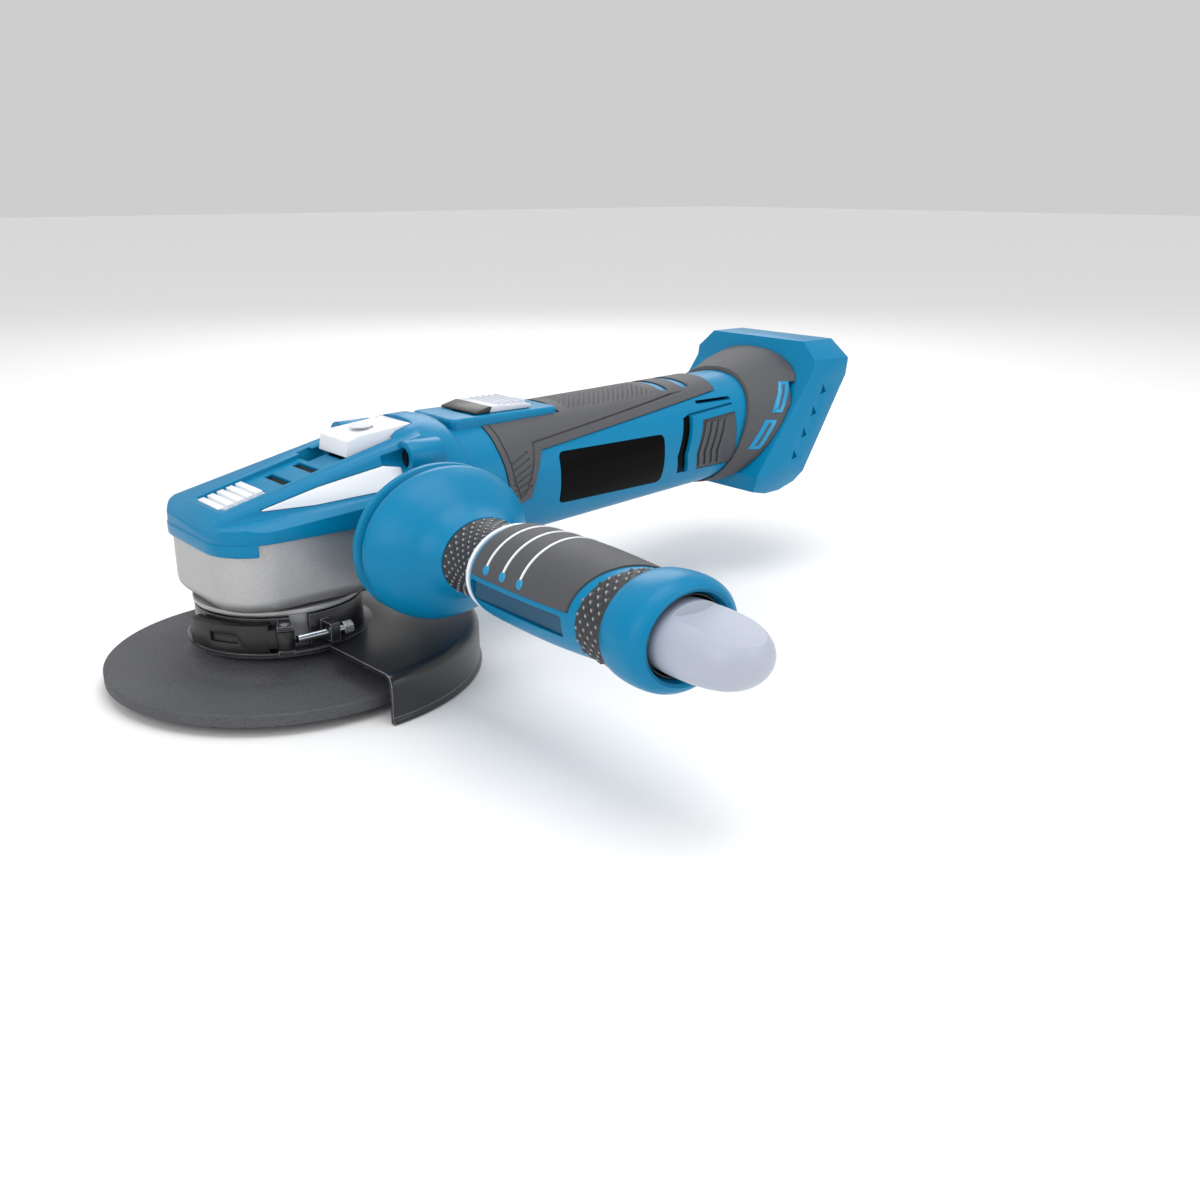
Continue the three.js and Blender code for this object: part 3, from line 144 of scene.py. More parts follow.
def lamp(name, place, size, power):
    """A square soft box that faces the middle of the tool."""
    light = bpy.data.lights.new(name, "AREA")
    light.size = size
    light.energy = power
    holder = bpy.data.objects.new(name, light)
    bpy.context.collection.objects.link(holder)
    holder.location = place
    middle = Vector((0.09, -0.03, 0.04))
    holder.rotation_mode = "QUATERNION"
    holder.rotation_quaternion = (middle - Vector(place)).to_track_quat("-Z", "Y")
    return holder


lamp("top_soft_box", (0.10, -0.15, 0.85), 0.55, 3.0)
lamp("front_soft_box", (-0.75, -0.35, 0.45), 0.6, 2.4)
lamp("side_soft_box", (0.45, -0.85, 0.35), 0.5, 1.6)
lamp("rear_soft_box", (0.60, 0.65, 0.60), 0.5, 2.2)

# One very wide, weak sun lights the whole floor evenly, far behind the tool as well.
sky_light = bpy.data.lights.new("even_sky", "SUN")
sky_light.energy = 0.5
sky_light.angle = math.radians(100)
sky = bpy.data.objects.new("even_sky", sky_light)
bpy.context.collection.objects.link(sky)

world = bpy.data.worlds.new("studio")
bpy.context.scene.world = world
world.use_nodes = True
world.node_tree.nodes["Background"].inputs["Color"].default_value = (PALE, PALE, PALE, 1)
world.node_tree.nodes["Background"].inputs["Strength"].default_value = 0.7

bpy.ops.object.select_all(action="DESELECT")
bpy.ops.mesh.primitive_plane_add(size=12, location=(0.1, 0, floor_height))
floor = bpy.context.object
floor.name = "studio_floor"
bpy.context.scene.view_settings.view_transform = "Standard"

# %% [markdown]
# ## Finishes
# Each finish is built from the same few nodes: a colour that drifts a little over the surface, a
# roughness that drifts with it, and a fine grain that tilts the light. A small function adds a
# node, and another turns a maker's sRGB colour chip into the linear colour that the nodes want.

# %% Colours and nodes
def linear(chip):
    """A hex colour chip as linear red, green, blue and a full alpha."""
    parts = [int(chip[i:i + 2], 16) / 255 for i in (0, 2, 4)]
    return tuple(p / 12.92 if p <= 0.04045 else ((p + 0.055) / 1.055) ** 2.4 for p in parts) + (1,)


def add(material, kind, sockets=None, **settings):
    """Adds a node; a socket takes a value, or another node's output to link."""
    tree = material.node_tree
    made = tree.nodes.new("ShaderNode" + kind)
    for name, value in settings.items():
        setattr(made, name, value)
    for name, value in (sockets or {}).items():
        if isinstance(value, bpy.types.NodeSocket):
            tree.links.new(value, made.inputs[name])
        else:
            made.inputs[name].default_value = value
    return made


def per_mm(size):
    """The scale of a pattern whose features are this many millimetres apart."""
    return 1 / (size * MM)


def times(material, a, b):
    """One output times another output or number."""
    return add(material, "Math", {0: a, 1: b}, operation="MULTIPLY").outputs["Value"]


def blended(material, share, a, b):
    """Colour a turning into colour b as the share grows."""
    sockets = {"Factor": share, "A": a, "B": b}
    return add(material, "Mix", sockets, data_type="RGBA").outputs["Result"]


# %% [markdown]
# Most surfaces differ only in a few numbers, so one recipe makes them. The grain is drawn as
# coarse as it must be to show at arm's length. Edges are rounded for the light by a Bevel node,
# as every moulded or cast edge has a small radius, and the same node tells where an edge is, so
# that a lighter colour can be painted along it: on the guard partly paint rubbed through to metal
# and partly a painted highlight, on the blue nylon a painted highlight.

# %% The common recipe
BLOTCH = 22  # millimetres between the broad, faint patches of every surface


def finish(name, chip, roughness, metallic=0.0, grain=0.35, depth=0.02, drift=0.06,
           rounding=0.35, edge_wear_and_highlight=None, edge_wear_and_highlight_share=0.0, specks=None, speck_size=0.8, specular=0.5):
    """A finish: chip colour, gloss, grain size and depth in mm, and a lighter edge colour for wear and
    painted highlight.
    """
    material = bpy.data.materials.new(name)
    material.use_nodes = True
    material.node_tree.nodes.clear()
    place = add(material, "TexCoord").outputs["Object"]
    broad = add(material, "TexNoise", {"Vector": place, "Scale": per_mm(BLOTCH), "Detail": 3.0})
    fine = add(material, "TexNoise", {"Vector": place, "Scale": per_mm(grain), "Detail": 2.0})
    base = linear(chip)
    light = tuple(min(1, c * (1 + drift)) for c in base[:3]) + (1,)
    dark = tuple(c * (1 - drift) for c in base[:3]) + (1,)
    tone = blended(material, broad.outputs["Fac"], dark, light)
    if specks:
        spots = add(material, "TexVoronoi", {"Vector": place, "Scale": per_mm(speck_size)})
        sharp = add(material, "MapRange", {
            "Value": spots.outputs["Distance"], "From Min": 0.1, "From Max": 0.34,
            "To Min": 1.0, "To Max": 0.0,
        })
        tone = blended(material, sharp.outputs["Result"], tone, linear(specks))
    edge = add(material, "Bevel", {"Radius": rounding * MM}, samples=4)
    # Along edges a lighter colour is painted in: rubbed-through wear, and a painted highlight for the
    # light an edge catches.
    if edge_wear_and_highlight:
        flat = add(material, "NewGeometry").outputs["Normal"]
        agree = add(material, "VectorMath", {0: edge.outputs["Normal"], 1: flat}, operation="DOT_PRODUCT")
        edge_band = add(material, "MapRange", {
            "Value": agree.outputs["Value"], "From Min": 0.995, "From Max": 0.93,
            "To Min": 0.0, "To Max": edge_wear_and_highlight_share,
        })
        patchy = times(material, edge_band.outputs["Result"], broad.outputs["Fac"])
        tone = blended(material, patchy, tone, linear(edge_wear_and_highlight))
    gloss = add(material, "MapRange", {
        "Value": fine.outputs["Fac"], "To Min": roughness * 0.85, "To Max": roughness * 1.15,
    })
    bump = add(material, "Bump", {
        "Height": fine.outputs["Fac"], "Distance": depth * MM, "Normal": edge.outputs["Normal"],
    })
    shader = add(material, "BsdfPrincipled", {
        "Base Color": tone, "Roughness": gloss.outputs["Result"], "Metallic": metallic,
        "Specular IOR Level": specular, "Normal": bump.outputs["Normal"],
    })
    add(material, "OutputMaterial", {"Surface": shader.outputs["BSDF"]})
    return material


# %% [markdown]
# The names say what each part really is and how its surface was made. Glass-filled nylon is
# moulded in a lightly spark-eroded tool, so it is satin. The gear case is die-cast aluminium, shot
# blasted, which leaves dark pits. The guard is pressed steel under black powder coat.

# %% The finishes
# The blue nylon's lighter cyan edges are a painted highlight.
nylon_blue = finish("moulded_blue_nylon", "0078A4", 0.34, grain=0.45, depth=0.012,
                    edge_wear_and_highlight="2AA3CB", edge_wear_and_highlight_share=0.3, specular=0.2)
nylon_bright = finish("moulded_light_blue_nylon", "0C86B4", 0.3, grain=0.45, depth=0.01)
# A darker copy of the blue nylon: painted shade for the handle's recessed side channel.
nylon_blue_painted_shade = finish("blue_nylon_painted_shade", "034764", 0.4, grain=0.45, depth=0.01)
nylon_black = finish("moulded_black_nylon", "121214", 0.38, grain=0.4, depth=0.02)
abs_white = finish("moulded_white_abs", "E9ECF0", 0.3, drift=0.02, grain=0.5, depth=0.008)
abs_silver = finish("moulded_silver_abs", "C9CDD6", 0.32, drift=0.03, grain=0.4, depth=0.01)
abs_lavender = finish("moulded_lavender_grey_abs", "A9AFBD", 0.36, drift=0.03, grain=0.5, depth=0.01)
rubber_grip = finish("overmoulded_thermoplastic_rubber", "47484C", 0.62, grain=0.5, depth=0.05, drift=0.1)
# Gloss black: the label plates' own colour, and also painted shade in the vent gaps and the cover's slots.
black_plate_and_painted_shade = finish("gloss_black_plate_and_painted_shade", "020202", 0.3, grain=2.0, depth=0.004, specular=0.06)
cast_case = finish("shot_blasted_die_cast_aluminium", "B4B4B5", 0.46, 0.7, grain=0.5, depth=0.05,
                   drift=0.06, rounding=0.9, specks="8C8C8D", speck_size=0.45)
# The guard's light grey edges are partly paint rubbed through to steel and partly a painted highlight
# along the bright edge line.
powder_black = finish("powder_coated_pressed_steel", "1E1F22", 0.3, grain=0.6, depth=0.02,
                      rounding=0.3, edge_wear_and_highlight="B9BBBF", edge_wear_and_highlight_share=1.4)
grit = finish("resin_bonded_abrasive", "4E4F53", 0.75, grain=0.7, depth=0.16, drift=0.16,
              specks="2C2D30", speck_size=0.9)
ground_steel = finish("ground_steel", "9EA0A4", 0.28, 1.0, grain=0.3, depth=0.006)
zinc_steel = finish("bright_zinc_plated_steel", "C2C5CA", 0.18, 1.0, grain=0.5, depth=0.004)
black_steel = finish("black_oxide_steel", "303236", 0.36, 0.9, grain=0.4, depth=0.01)
drawn_copper = finish("drawn_copper", "B87348", 0.3, 1.0, grain=0.4, depth=0.006)
ferrite = finish("sintered_ferrite", "4C4C50", 0.6, 0.2, grain=0.4, depth=0.03)
solder_mask = finish("green_solder_mask", "1F6B3A", 0.35, grain=0.8, depth=0.01)

# %% [markdown]
# Two rubbers carry more than the common recipe. The grip's thumb pad has fine chevrons: a row of
# waves along the body that is bent back on each side of the middle, kept to the pad. The knurled
# rubber is painted lighter on the tips of its pyramids, a painted highlight for the light they
# catch; the tips are named by an attribute of the piece itself.

# %% Rubber with chevrons, and knurled rubber
CHEVRON_PITCH = 2.4
CHEVRON_LEAN = 0.8
CHEVRON_DEPTH = 0.22
PAD_FROM, PAD_TO, PAD_HALF = 112, 156, 13


def fade(material, value, start_at, end_at):
    """Nothing at one value, all at the other."""
    sockets = {"Value": value, "From Min": start_at, "From Max": end_at}
    return add(material, "MapRange", sockets).outputs["Result"]


def node_of(material, kind):
    """The material's one node of a kind."""
    return next(node for node in material.node_tree.nodes if node.type == kind)


chevrons = finish("overmoulded_rubber_with_chevrons", "47484C", 0.6, grain=0.5, depth=0.05, drift=0.1)
place = add(chevrons, "SeparateXYZ", {"Vector": add(chevrons, "TexCoord").outputs["Object"]})
along = place.outputs["X"]
side = add(chevrons, "Math", {0: place.outputs["Y"]}, operation="ABSOLUTE").outputs["Value"]
bent = add(chevrons, "Math", {0: side, 1: CHEVRON_LEAN, 2: along}, operation="MULTIPLY_ADD")
turns = times(chevrons, bent.outputs["Value"], 2 * math.pi * per_mm(CHEVRON_PITCH))
ripple = add(chevrons, "Math", {0: turns}, operation="SINE").outputs["Value"]
pad_ends = times(
    chevrons,
    fade(chevrons, along, PAD_FROM * MM, (PAD_FROM + 2) * MM),
    fade(chevrons, along, PAD_TO * MM, (PAD_TO - 2) * MM),
)
pad_area = times(chevrons, pad_ends, fade(chevrons, side, PAD_HALF * MM, (PAD_HALF - 1.5) * MM))
grain = node_of(chevrons, "BUMP")
pressed = add(chevrons, "Bump", {
    "Height": times(chevrons, ripple, pad_area),
    "Distance": CHEVRON_DEPTH * MM,
    "Normal": grain.outputs["Normal"],
})
shader = node_of(chevrons, "BSDF_PRINCIPLED")
chevrons.node_tree.links.new(pressed.outputs["Normal"], shader.inputs["Normal"])

knurled = finish("knurled_thermoplastic_rubber", "2B2C2F", 0.5, grain=0.5, depth=0.02, drift=0.1)
tip = add(knurled, "Attribute", attribute_name="knurl_tip").outputs["Fac"]
shader = node_of(knurled, "BSDF_PRINCIPLED")
dark = shader.inputs["Base Color"].links[0].from_socket
# Painted highlight: a light grey is mixed in where the attribute names a tip.
painted_tip_highlight = blended(knurled, fade(knurled, tip, 0.35, 0.95), dark, linear("B9BBC0"))
knurled.node_tree.links.new(painted_tip_highlight, shader.inputs["Base Color"])

# %% [markdown]
# Every part of the working model gets its finish here, also the ones inside, so that a part left
# bare would show in the list that is printed. The new pieces below stand in front of many of them.

# %% Dress the parts of the working model
FINISH_OF = {
    nylon_blue: ("gear_cover", "body_shell_left", "body_shell_right", "battery_foot",
                 "handle_flange", "handle_core", "handle_ring"),
    cast_case: ("gear_case", "bearing_retainer"),
    abs_white: ("vent_insert", "side_insert_left", "side_insert_right", "lock_button"),
    abs_silver: ("slide_switch",),
    abs_lavender: ("handle_end_cap",),
    rubber_grip: ("grip_rubber", "vent_panel_left", "vent_panel_right", "foot_rubber",
                  "handle_neck", "handle_pad"),
    black_plate_and_painted_shade: ("label_plate_left", "label_plate_right"),
    nylon_black: ("guard_lever", "cooling_fan", "motor_end_cap", "switch_rod", "switch_unit",
                  "terminal_block"),
    powder_black: ("guard", "guard_clamp_band"),
    grit: ("grinding_disc",),
    zinc_steel: ("guard_clamp_screw", "guard_lever_pin", "lock_pin", "lock_spring", "handle_washer",
                 "cover_screw_left", "cover_screw_right"),
    ground_steel: ("spindle", "ring_gear", "spindle_bearing_lower", "spindle_bearing_upper",
                   "inner_flange", "lock_nut", "pinion", "rotor_shaft", "shaft_bearing_front",
                   "shaft_bearing_rear", "handle_stud"),
    black_steel: ("rotor_core", "motor_can"),
    drawn_copper: ("commutator", "terminal_left", "terminal_right"),
    ferrite: ("motor_magnet_left", "motor_magnet_right", "motor_brush_left", "motor_brush_right"),
    solder_mask: ("control_board",),
}


def dress(piece, material):
    """Gives the whole piece one finish."""
    piece.data.materials.clear()
    piece.data.materials.append(material)


for material, names in FINISH_OF.items():
    for name in names:
        dress(nodes[name], material)
undressed = set(nodes) - {name for names in FINISH_OF.values() for name in names}
print("parts without a finish:", sorted(undressed))
dress(floor, finish("pale_studio_floor", "F2F2F2", 0.85, grain=3, depth=0.0, drift=0.01))

# %% [markdown]
# ## Making pieces
# New pieces start as a ring or a block at their true size and place, as by hand. Everything is
# deselected first, because an operator acts on all that is selected. A finished piece keeps its
# place in its mesh and its object at the origin, so its finish never slides.

# %% A fresh start, and a shaded end
SMOOTH_UNDER = math.radians(32)


def start():
    """Leaves edit mode and deselects everything."""
    if bpy.context.object and bpy.context.object.mode != "OBJECT":
        bpy.ops.object.mode_set(mode="OBJECT")
    bpy.ops.object.select_all(action="DESELECT")


def choose(piece):
    """Makes one piece the selected and active one."""
    start()
    piece.select_set(True)
    bpy.context.view_layer.objects.active = piece


def edit(piece):
    """Goes into edit mode with the whole piece selected."""
    choose(piece)
    bpy.ops.object.mode_set(mode="EDIT")
    bpy.ops.mesh.select_all(action="SELECT")


def use(piece, kind, **settings):
    """Adds a modifier with its settings and applies it."""
    choose(piece)
    modifier = piece.modifiers.new(kind.lower(), kind)
    for name, value in settings.items():
        setattr(modifier, name, value)
    bpy.ops.object.modifier_apply(modifier=modifier.name)


def soften(piece, width, limit, segments=2):
    """Bevels every edge that turns by more than the limit, in degrees."""
    use(piece, "BEVEL", width=width * MM, segments=segments, limit_method="ANGLE",
        angle_limit=math.radians(limit))


def complete(piece, material, body, stands_for, smooth=SMOOTH_UNDER):
    """Shades a piece, dresses it, says what it rides on, and hides the parts it stands for."""
    choose(piece)
    bpy.ops.object.shade_smooth_by_angle(angle=smooth)
    dress(piece, material)
    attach(piece, body)
    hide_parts(*stands_for)
    print(piece.name, "has", len(piece.data.polygons), "faces")


# %% [markdown]
# Turned and drawn-out parts grow ring by ring: a circle is added, then extruded and resized along
# the axis. Each ring has its own half width and half height, so the same steps make round and
# oval parts. A hollow outline comes back to its first ring, where the doubles are merged.

# %% Parts that grow ring by ring
TURNS = {"x": (0, math.pi / 2, 0), "y": (math.pi / 2, 0, 0), "z": (0, 0, 0)}


def spread(axis, across, up):
    """Factors for the two directions square to the axis."""
    return {"x": (1, across, up), "y": (across, 1, up), "z": (across, up, 1)}[axis]


def ring_place(axis, centre, distance, rise):
    """The middle of a ring: its distance along the axis, and how far it is lifted off it."""
    x, y, height = centre
    places = {
        "x": (distance, y, height + rise),
        "y": (x, distance, height + rise),
        "z": (x, y, distance),
    }
    return at(*places[axis])


def grow(name, axis, centre, rings, sides=96, hollow=False):
    """A piece through rings of (distance, half width, half height, rise) about an axis."""
    start()
    distance, across, up, rise = rings[0]
    place = ring_place(axis, centre, distance, rise)
    bpy.ops.mesh.primitive_circle_add(
        vertices=sides, radius=MM, fill_type="NOTHING" if hollow else "NGON",
        location=place, rotation=TURNS[axis],
    )
    piece = bpy.context.object
    piece.name = name
    bpy.ops.object.transform_apply(location=True, rotation=True, scale=True)
    edit(piece)
    bpy.ops.transform.resize(value=spread(axis, across, up), center_override=place)
    for distance, next_across, next_up, rise in rings[1:]:
        next_place = ring_place(axis, centre, distance, rise)
        bpy.ops.mesh.extrude_region_move(TRANSFORM_OT_translate={"value": next_place - place})
        factors = spread(axis, next_across / across, next_up / up)
        bpy.ops.transform.resize(value=factors, center_override=next_place)
        place, across, up = next_place, next_across, next_up
    bpy.ops.mesh.select_all(action="SELECT")
    bpy.ops.mesh.remove_doubles(threshold=1e-7)
    bpy.ops.mesh.normals_make_consistent(inside=False)
    bpy.ops.object.mode_set(mode="OBJECT")
    return piece


def turned(name, axis, centre, outline, flatness=1.0, sides=96, hollow=False):
    """A turned piece from an outline of (radius, distance); flatness squeezes it to an oval."""
    rings = [(distance, radius, radius * flatness, 0) for radius, distance in outline]
    if hollow:
        rings.append(rings[0])
    return grow(name, axis, centre, rings, sides, hollow)


def flowing(points, steps=5):
    """More points along a smooth curve through the ones given."""
    padded = [points[0], *points, points[-1]]
    found = []
    for before, a, b, after in zip(padded, padded[1:], padded[2:], padded[3:]):
        for i in range(steps):
            t = i / steps
            found.append(tuple(
                0.5 * (2 * q + (r - p) * t + (2 * p - 5 * q + 4 * r - s) * t * t
                       + (3 * q - p - 3 * r + s) * t ** 3)
                for p, q, r, s in zip(before, a, b, after)
            ))
    return [*found, points[-1]]


def spaced(first, last, count):
    """Evenly spaced numbers, both ends counted."""
    return [first + (last - first) * i / (count - 1) for i in range(count)]


# %% [markdown]
# Blocks and slabs cut the pieces to shape. A slab is an outline drawn on one side of the tool and
# extruded through it, and a Boolean modifier takes it away from the piece or keeps what they share.

# %% Blocks, slabs and cuts
def block(x0, x1, y0, y1, low, high, corner=0.0, axis="z"):
    """A block between two corners, with its edges along one axis rounded."""
    start()
    middle = at((x0 + x1) / 2, (y0 + y1) / 2, (low + high) / 2)
    bpy.ops.mesh.primitive_cube_add(size=MM, location=middle)
    piece = bpy.context.object
    piece.scale = (x1 - x0, y1 - y0, high - low)
    bpy.ops.object.transform_apply(location=True, rotation=True, scale=True)
    if corner:
        round_edges(piece, axis, corner)
    return piece


def select_edges(piece, wanted):
    """In edit mode, selects only the edges for which wanted(start, end) is true."""
    bpy.ops.mesh.select_all(action="DESELECT")
    bpy.ops.mesh.select_mode(type="EDGE")
    bpy.ops.object.mode_set(mode="OBJECT")
    corners = piece.data.vertices
    for edge in piece.data.edges:
        first, last = edge.vertices
        edge.select = bool(wanted(corners[first].co, corners[last].co))
    bpy.ops.object.mode_set(mode="EDIT")


def round_edges(piece, axis, radius, steps=8, also=lambda a, b: True):
    """Rounds the edges that run along an axis."""
    index = "xyz".index(axis)
    edit(piece)
    select_edges(piece, lambda a, b: abs((b - a).normalized()[index]) > 0.99 and also(a, b))
    bpy.ops.mesh.bevel(offset=radius * MM, segments=steps)
    bpy.ops.object.mode_set(mode="OBJECT")


def slab(outline, near=-60, far=60, axis="y"):
    """An outline of (x, height), or (x, y) with axis z, pushed through between two distances."""
    start()
    mesh = bpy.data.meshes.new("slab")
    if axis == "y":
        corners = [at(x, near, height) for x, height in outline]
        push = Vector((0, far - near, 0)) * MM
    else:
        corners = [at(x, y, near) for x, y in outline]
        push = Vector((0, 0, far - near)) * MM
    mesh.from_pydata(corners, [], [list(range(len(corners)))])
    piece = bpy.data.objects.new("slab", mesh)
    bpy.context.collection.objects.link(piece)
    edit(piece)
    bpy.ops.mesh.extrude_region_move(TRANSFORM_OT_translate={"value": push})
    bpy.ops.mesh.select_all(action="SELECT")
    bpy.ops.mesh.normals_make_consistent(inside=False)
    bpy.ops.object.mode_set(mode="OBJECT")
    return piece


def cut(piece, *tools, keep="DIFFERENCE"):
    """Takes the tools away from a piece, or keeps only what they share, and throws them away."""
    for tool in tools:
        use(piece, "BOOLEAN", operation=keep, object=tool, solver="EXACT")
        bpy.data.objects.remove(tool)
    return piece


def copied(piece, name):
    """A copy with a mesh of its own."""
    twin = piece.copy()
    twin.data = piece.data.copy()
    twin.name = name
    bpy.context.collection.objects.link(twin)
    twin.hide_viewport = False
    twin.hide_render = False
    twin.hide_set(False)
    return twin


def from_part(node, name):
    """A copy of a working part with its loose triangles merged into clean faces."""
    piece = copied(nodes[node], name)
    piece.parent = None
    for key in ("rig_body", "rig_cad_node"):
        if key in piece:
            del piece[key]
    edit(piece)
    bpy.ops.mesh.remove_doubles(threshold=2e-6)
    bpy.ops.mesh.dissolve_limited(angle_limit=math.radians(0.5))
    bpy.ops.object.mode_set(mode="OBJECT")
    return piece


# %% [markdown]
# ## The side handle
# The side handle is moulded nylon with rubber let into it. Its guard flange is a thin rear rim, a
# gap and a dome that keeps the hand from sliding forward. All of it is one turned outline, squeezed
# a little from above, so the dome is drawn as a flowing curve and the rims keep their edges.

# %% Handle flange
HANDLE = (33, 0, 42.5)
FLATNESS = 0.82
RIM = 29.6
BACK = -35.9
dome = flowing([
    (RIM - 0.2, -54.6), (RIM - 3, -59), (RIM - 7.5, -63.5), (RIM - 12, -67.6), (14.6, -72.8),
])
rear_rim = [
    (12, BACK), (13, -44.2), (RIM - 1.6, -45.8), (RIM - 0.4, -46.3), (RIM, -47.2),
    (RIM - 0.3, -48.4), (RIM - 1.4, -49.1), (RIM - 4.6, -49.5),
]
front_rim = [(RIM - 4.6, -51.1), (RIM - 1.3, -51.5), (RIM - 0.3, -52.2), (RIM, -53.2)]
flange = turned("handle_guard_flange", "y", HANDLE, [*rear_rim, *front_rim, *dome], FLATNESS, sides=128)
stud_room = grow("stud_room", "y", HANDLE, [(-20, 5.4, 5.4, 0), (-64.2, 5.4, 5.4, 0)], sides=32)
nut_room = grow("nut_room", "y", HANDLE, [(-54.4, 9, 9, 0), (-75, 9, 9, 0)], sides=6)
cut(flange, stud_room, nut_room)
complete(flange, nylon_blue, "handle", ["handle_flange"])

# %% [markdown]
# The neck is rubber with a diamond knurl that shows as bright points on a dark band; the points are
# a painted highlight on the tips. The knurl is real: staggered corners of a fine net are pushed out,
# which leaves small pyramids.

# %% Knurled neck
KNURL_SIDES = 96
KNURL_SMOOTH = math.radians(12)


def knurl(piece, depth):
    """Pushes staggered corners of a ring-built handle piece out to pyramids, and names the tips."""
    middle = at(*HANDLE)
    rows = sorted({round(corner.co.y / MM, 2) for corner in piece.data.vertices})
    piece.data.attributes.new("knurl_tip", "FLOAT", "POINT")
    edit(piece)
    bpy.ops.mesh.select_all(action="DESELECT")
    bpy.ops.mesh.select_mode(type="VERT")
    bpy.ops.object.mode_set(mode="OBJECT")
    tips = piece.data.attributes["knurl_tip"]
    for corner in piece.data.vertices:
        row = rows.index(round(corner.co.y / MM, 2))
        turn = math.atan2((corner.co.z - middle.z) / FLATNESS, corner.co.x - middle.x)
        step = round(turn / (2 * math.pi) * KNURL_SIDES)
        inner = 0 < row < len(rows) - 1
        corner.select = inner and row % 2 == 0 and (row + step) % 4 == 0
        tips.data[corner.index].value = float(corner.select)
    bpy.ops.object.mode_set(mode="EDIT")
    bpy.ops.transform.shrink_fatten(value=depth * MM)
    bpy.ops.object.mode_set(mode="OBJECT")


neck_shape = flowing([(14.3, -73), (13.5, -77.5), (13.6, -82), (15.0, -87.8)], steps=6)
neck = turned("handle_knurled_neck", "y", HANDLE, neck_shape, FLATNESS, sides=KNURL_SIDES)
knurl(neck, 0.55)
complete(neck, knurled, "handle", ["handle_neck"], smooth=KNURL_SMOOTH)

# %% [markdown]
# The grip is one oval nylon core with a slightly barrelled outline. A narrow white collar marks its
# start, and a shallow channel is let into its near side; its floor is a darker blue, painted shade.

# %% Grip core and white collar
GRIP_START = -89.6
GRIP_END = -147.8
GRIP_SHAPE = flowing([
    (15.7, GRIP_START), (16.8, -92.5), (17.4, -104), (17.5, -122), (16.6, -138), (15.8, GRIP_END),
])


def grip_radius(y):
    """The core's half width at a place along the handle."""
    for (r0, y0), (r1, y1) in zip(GRIP_SHAPE, GRIP_SHAPE[1:]):
        if y1 <= y <= y0:
            return r0 + (r1 - r0) * (y - y0) / (y1 - y0)
    return GRIP_SHAPE[-1][0]


def grip(name, extra, sides=96):
    """The grip's shape, grown all round."""
    return turned(name, "y", HANDLE, [(r + extra, y) for r, y in GRIP_SHAPE], FLATNESS, sides)


PAD_DEPTH = 1.2
PAD_FLOOR = HANDLE[2] + 2.6
PAD_OUTLINE = [(8, -92), (58, -92), (58, -145), (41, -145), (8, -132)]
pad_room = cut(grip("pad_room", 4), grip("pad_bed", -PAD_DEPTH))
cut(pad_room, slab(PAD_OUTLINE, PAD_FLOOR, 90, "z"), keep="INTERSECT")
side_channel = block(3, 18.8, -133, -91, 37.6, 43.6, 1.2, "x")
core = cut(grip("handle_grip_core", 0), pad_room, side_channel)
complete(core, nylon_blue, "handle", ["handle_core"])

# The channel's floor is painted darker blue: painted shade on the recessed lower side.
channel_floor = block(17.6, 19.2, -132.8, -91.2, 37.8, 43.4, 1.2, "x")
channel_floor.name = "handle_channel_floor"
complete(channel_floor, nylon_blue_painted_shade, "handle", ["handle_core"])

collar = turned("handle_white_collar", "y", HANDLE,
                [(15.0, -87.9), (16.2, -88.1), (16.4, -88.8), (16.2, -89.4), (15.2, -89.5)], FLATNESS)
complete(collar, abs_white, "handle", ["handle_core"])

# %% [markdown]
# The palm pad is moulded into the core and stands a little proud of it. Three thin white ribs cross
# it, each ending in a blue dot on the near side. They are turned rings of which only the part over
# the pad is kept.

# %% Palm pad, ribs and dots
PAD_PROUD = 0.5
pad = cut(grip("handle_palm_pad", PAD_PROUD), grip("pad_bed", -PAD_DEPTH + 0.15))
inset_outline = [(8, -92.2), (58, -92.2), (58, -144.8), (41, -144.8), (8, -131.8)]
cut(pad, slab(inset_outline, PAD_FLOOR + 0.2, 90, "z"), keep="INTERSECT")
complete(pad, rubber_grip, "handle", ["handle_pad"])

RIB_PLACES = (-99, -107, -115)
RIB_FLOOR = HANDLE[2] + 5.2
for number, y in enumerate(RIB_PLACES, 1):
    outside = grip_radius(y) + PAD_PROUD
    outline = [
        (outside - 0.5, y - 0.45), (outside + 0.3, y - 0.35),
        (outside + 0.3, y + 0.35), (outside - 0.5, y + 0.45),
    ]
    rib = turned(f"handle_rib_{number}", "y", HANDLE, outline, FLATNESS, hollow=True)
    cut(rib, block(HANDLE[0] - 30, HANDLE[0] + 10, y - 2, y + 2, RIB_FLOOR, 90), keep="INTERSECT")
    complete(rib, abs_white, "handle", ["handle_pad"])
    start()
    drop = (RIB_FLOOR - HANDLE[2]) / FLATNESS
    side = HANDLE[0] - math.sqrt(outside ** 2 - drop ** 2)
    bpy.ops.mesh.primitive_uv_sphere_add(
        segments=24, ring_count=12, radius=1.5 * MM, location=at(side + 0.2, y, RIB_FLOOR),
    )
    dot = bpy.context.object
    dot.name = f"handle_dot_{number}"
    dot.scale = (0.5, 1, 1)
    bpy.ops.object.transform_apply(location=True, rotation=True, scale=True)
    edit(dot)
    bpy.ops.transform.rotate(value=-0.35, orient_axis="Y", center_override=at(side, y, RIB_FLOOR))
    complete(dot, nylon_bright, "handle", ["handle_pad"], smooth=math.pi)

# %% [markdown]
# Past the pad a knurled rubber sleeve closes the grip, cut off on the slant so that a stripe of the
# blue core shows between pad and sleeve.

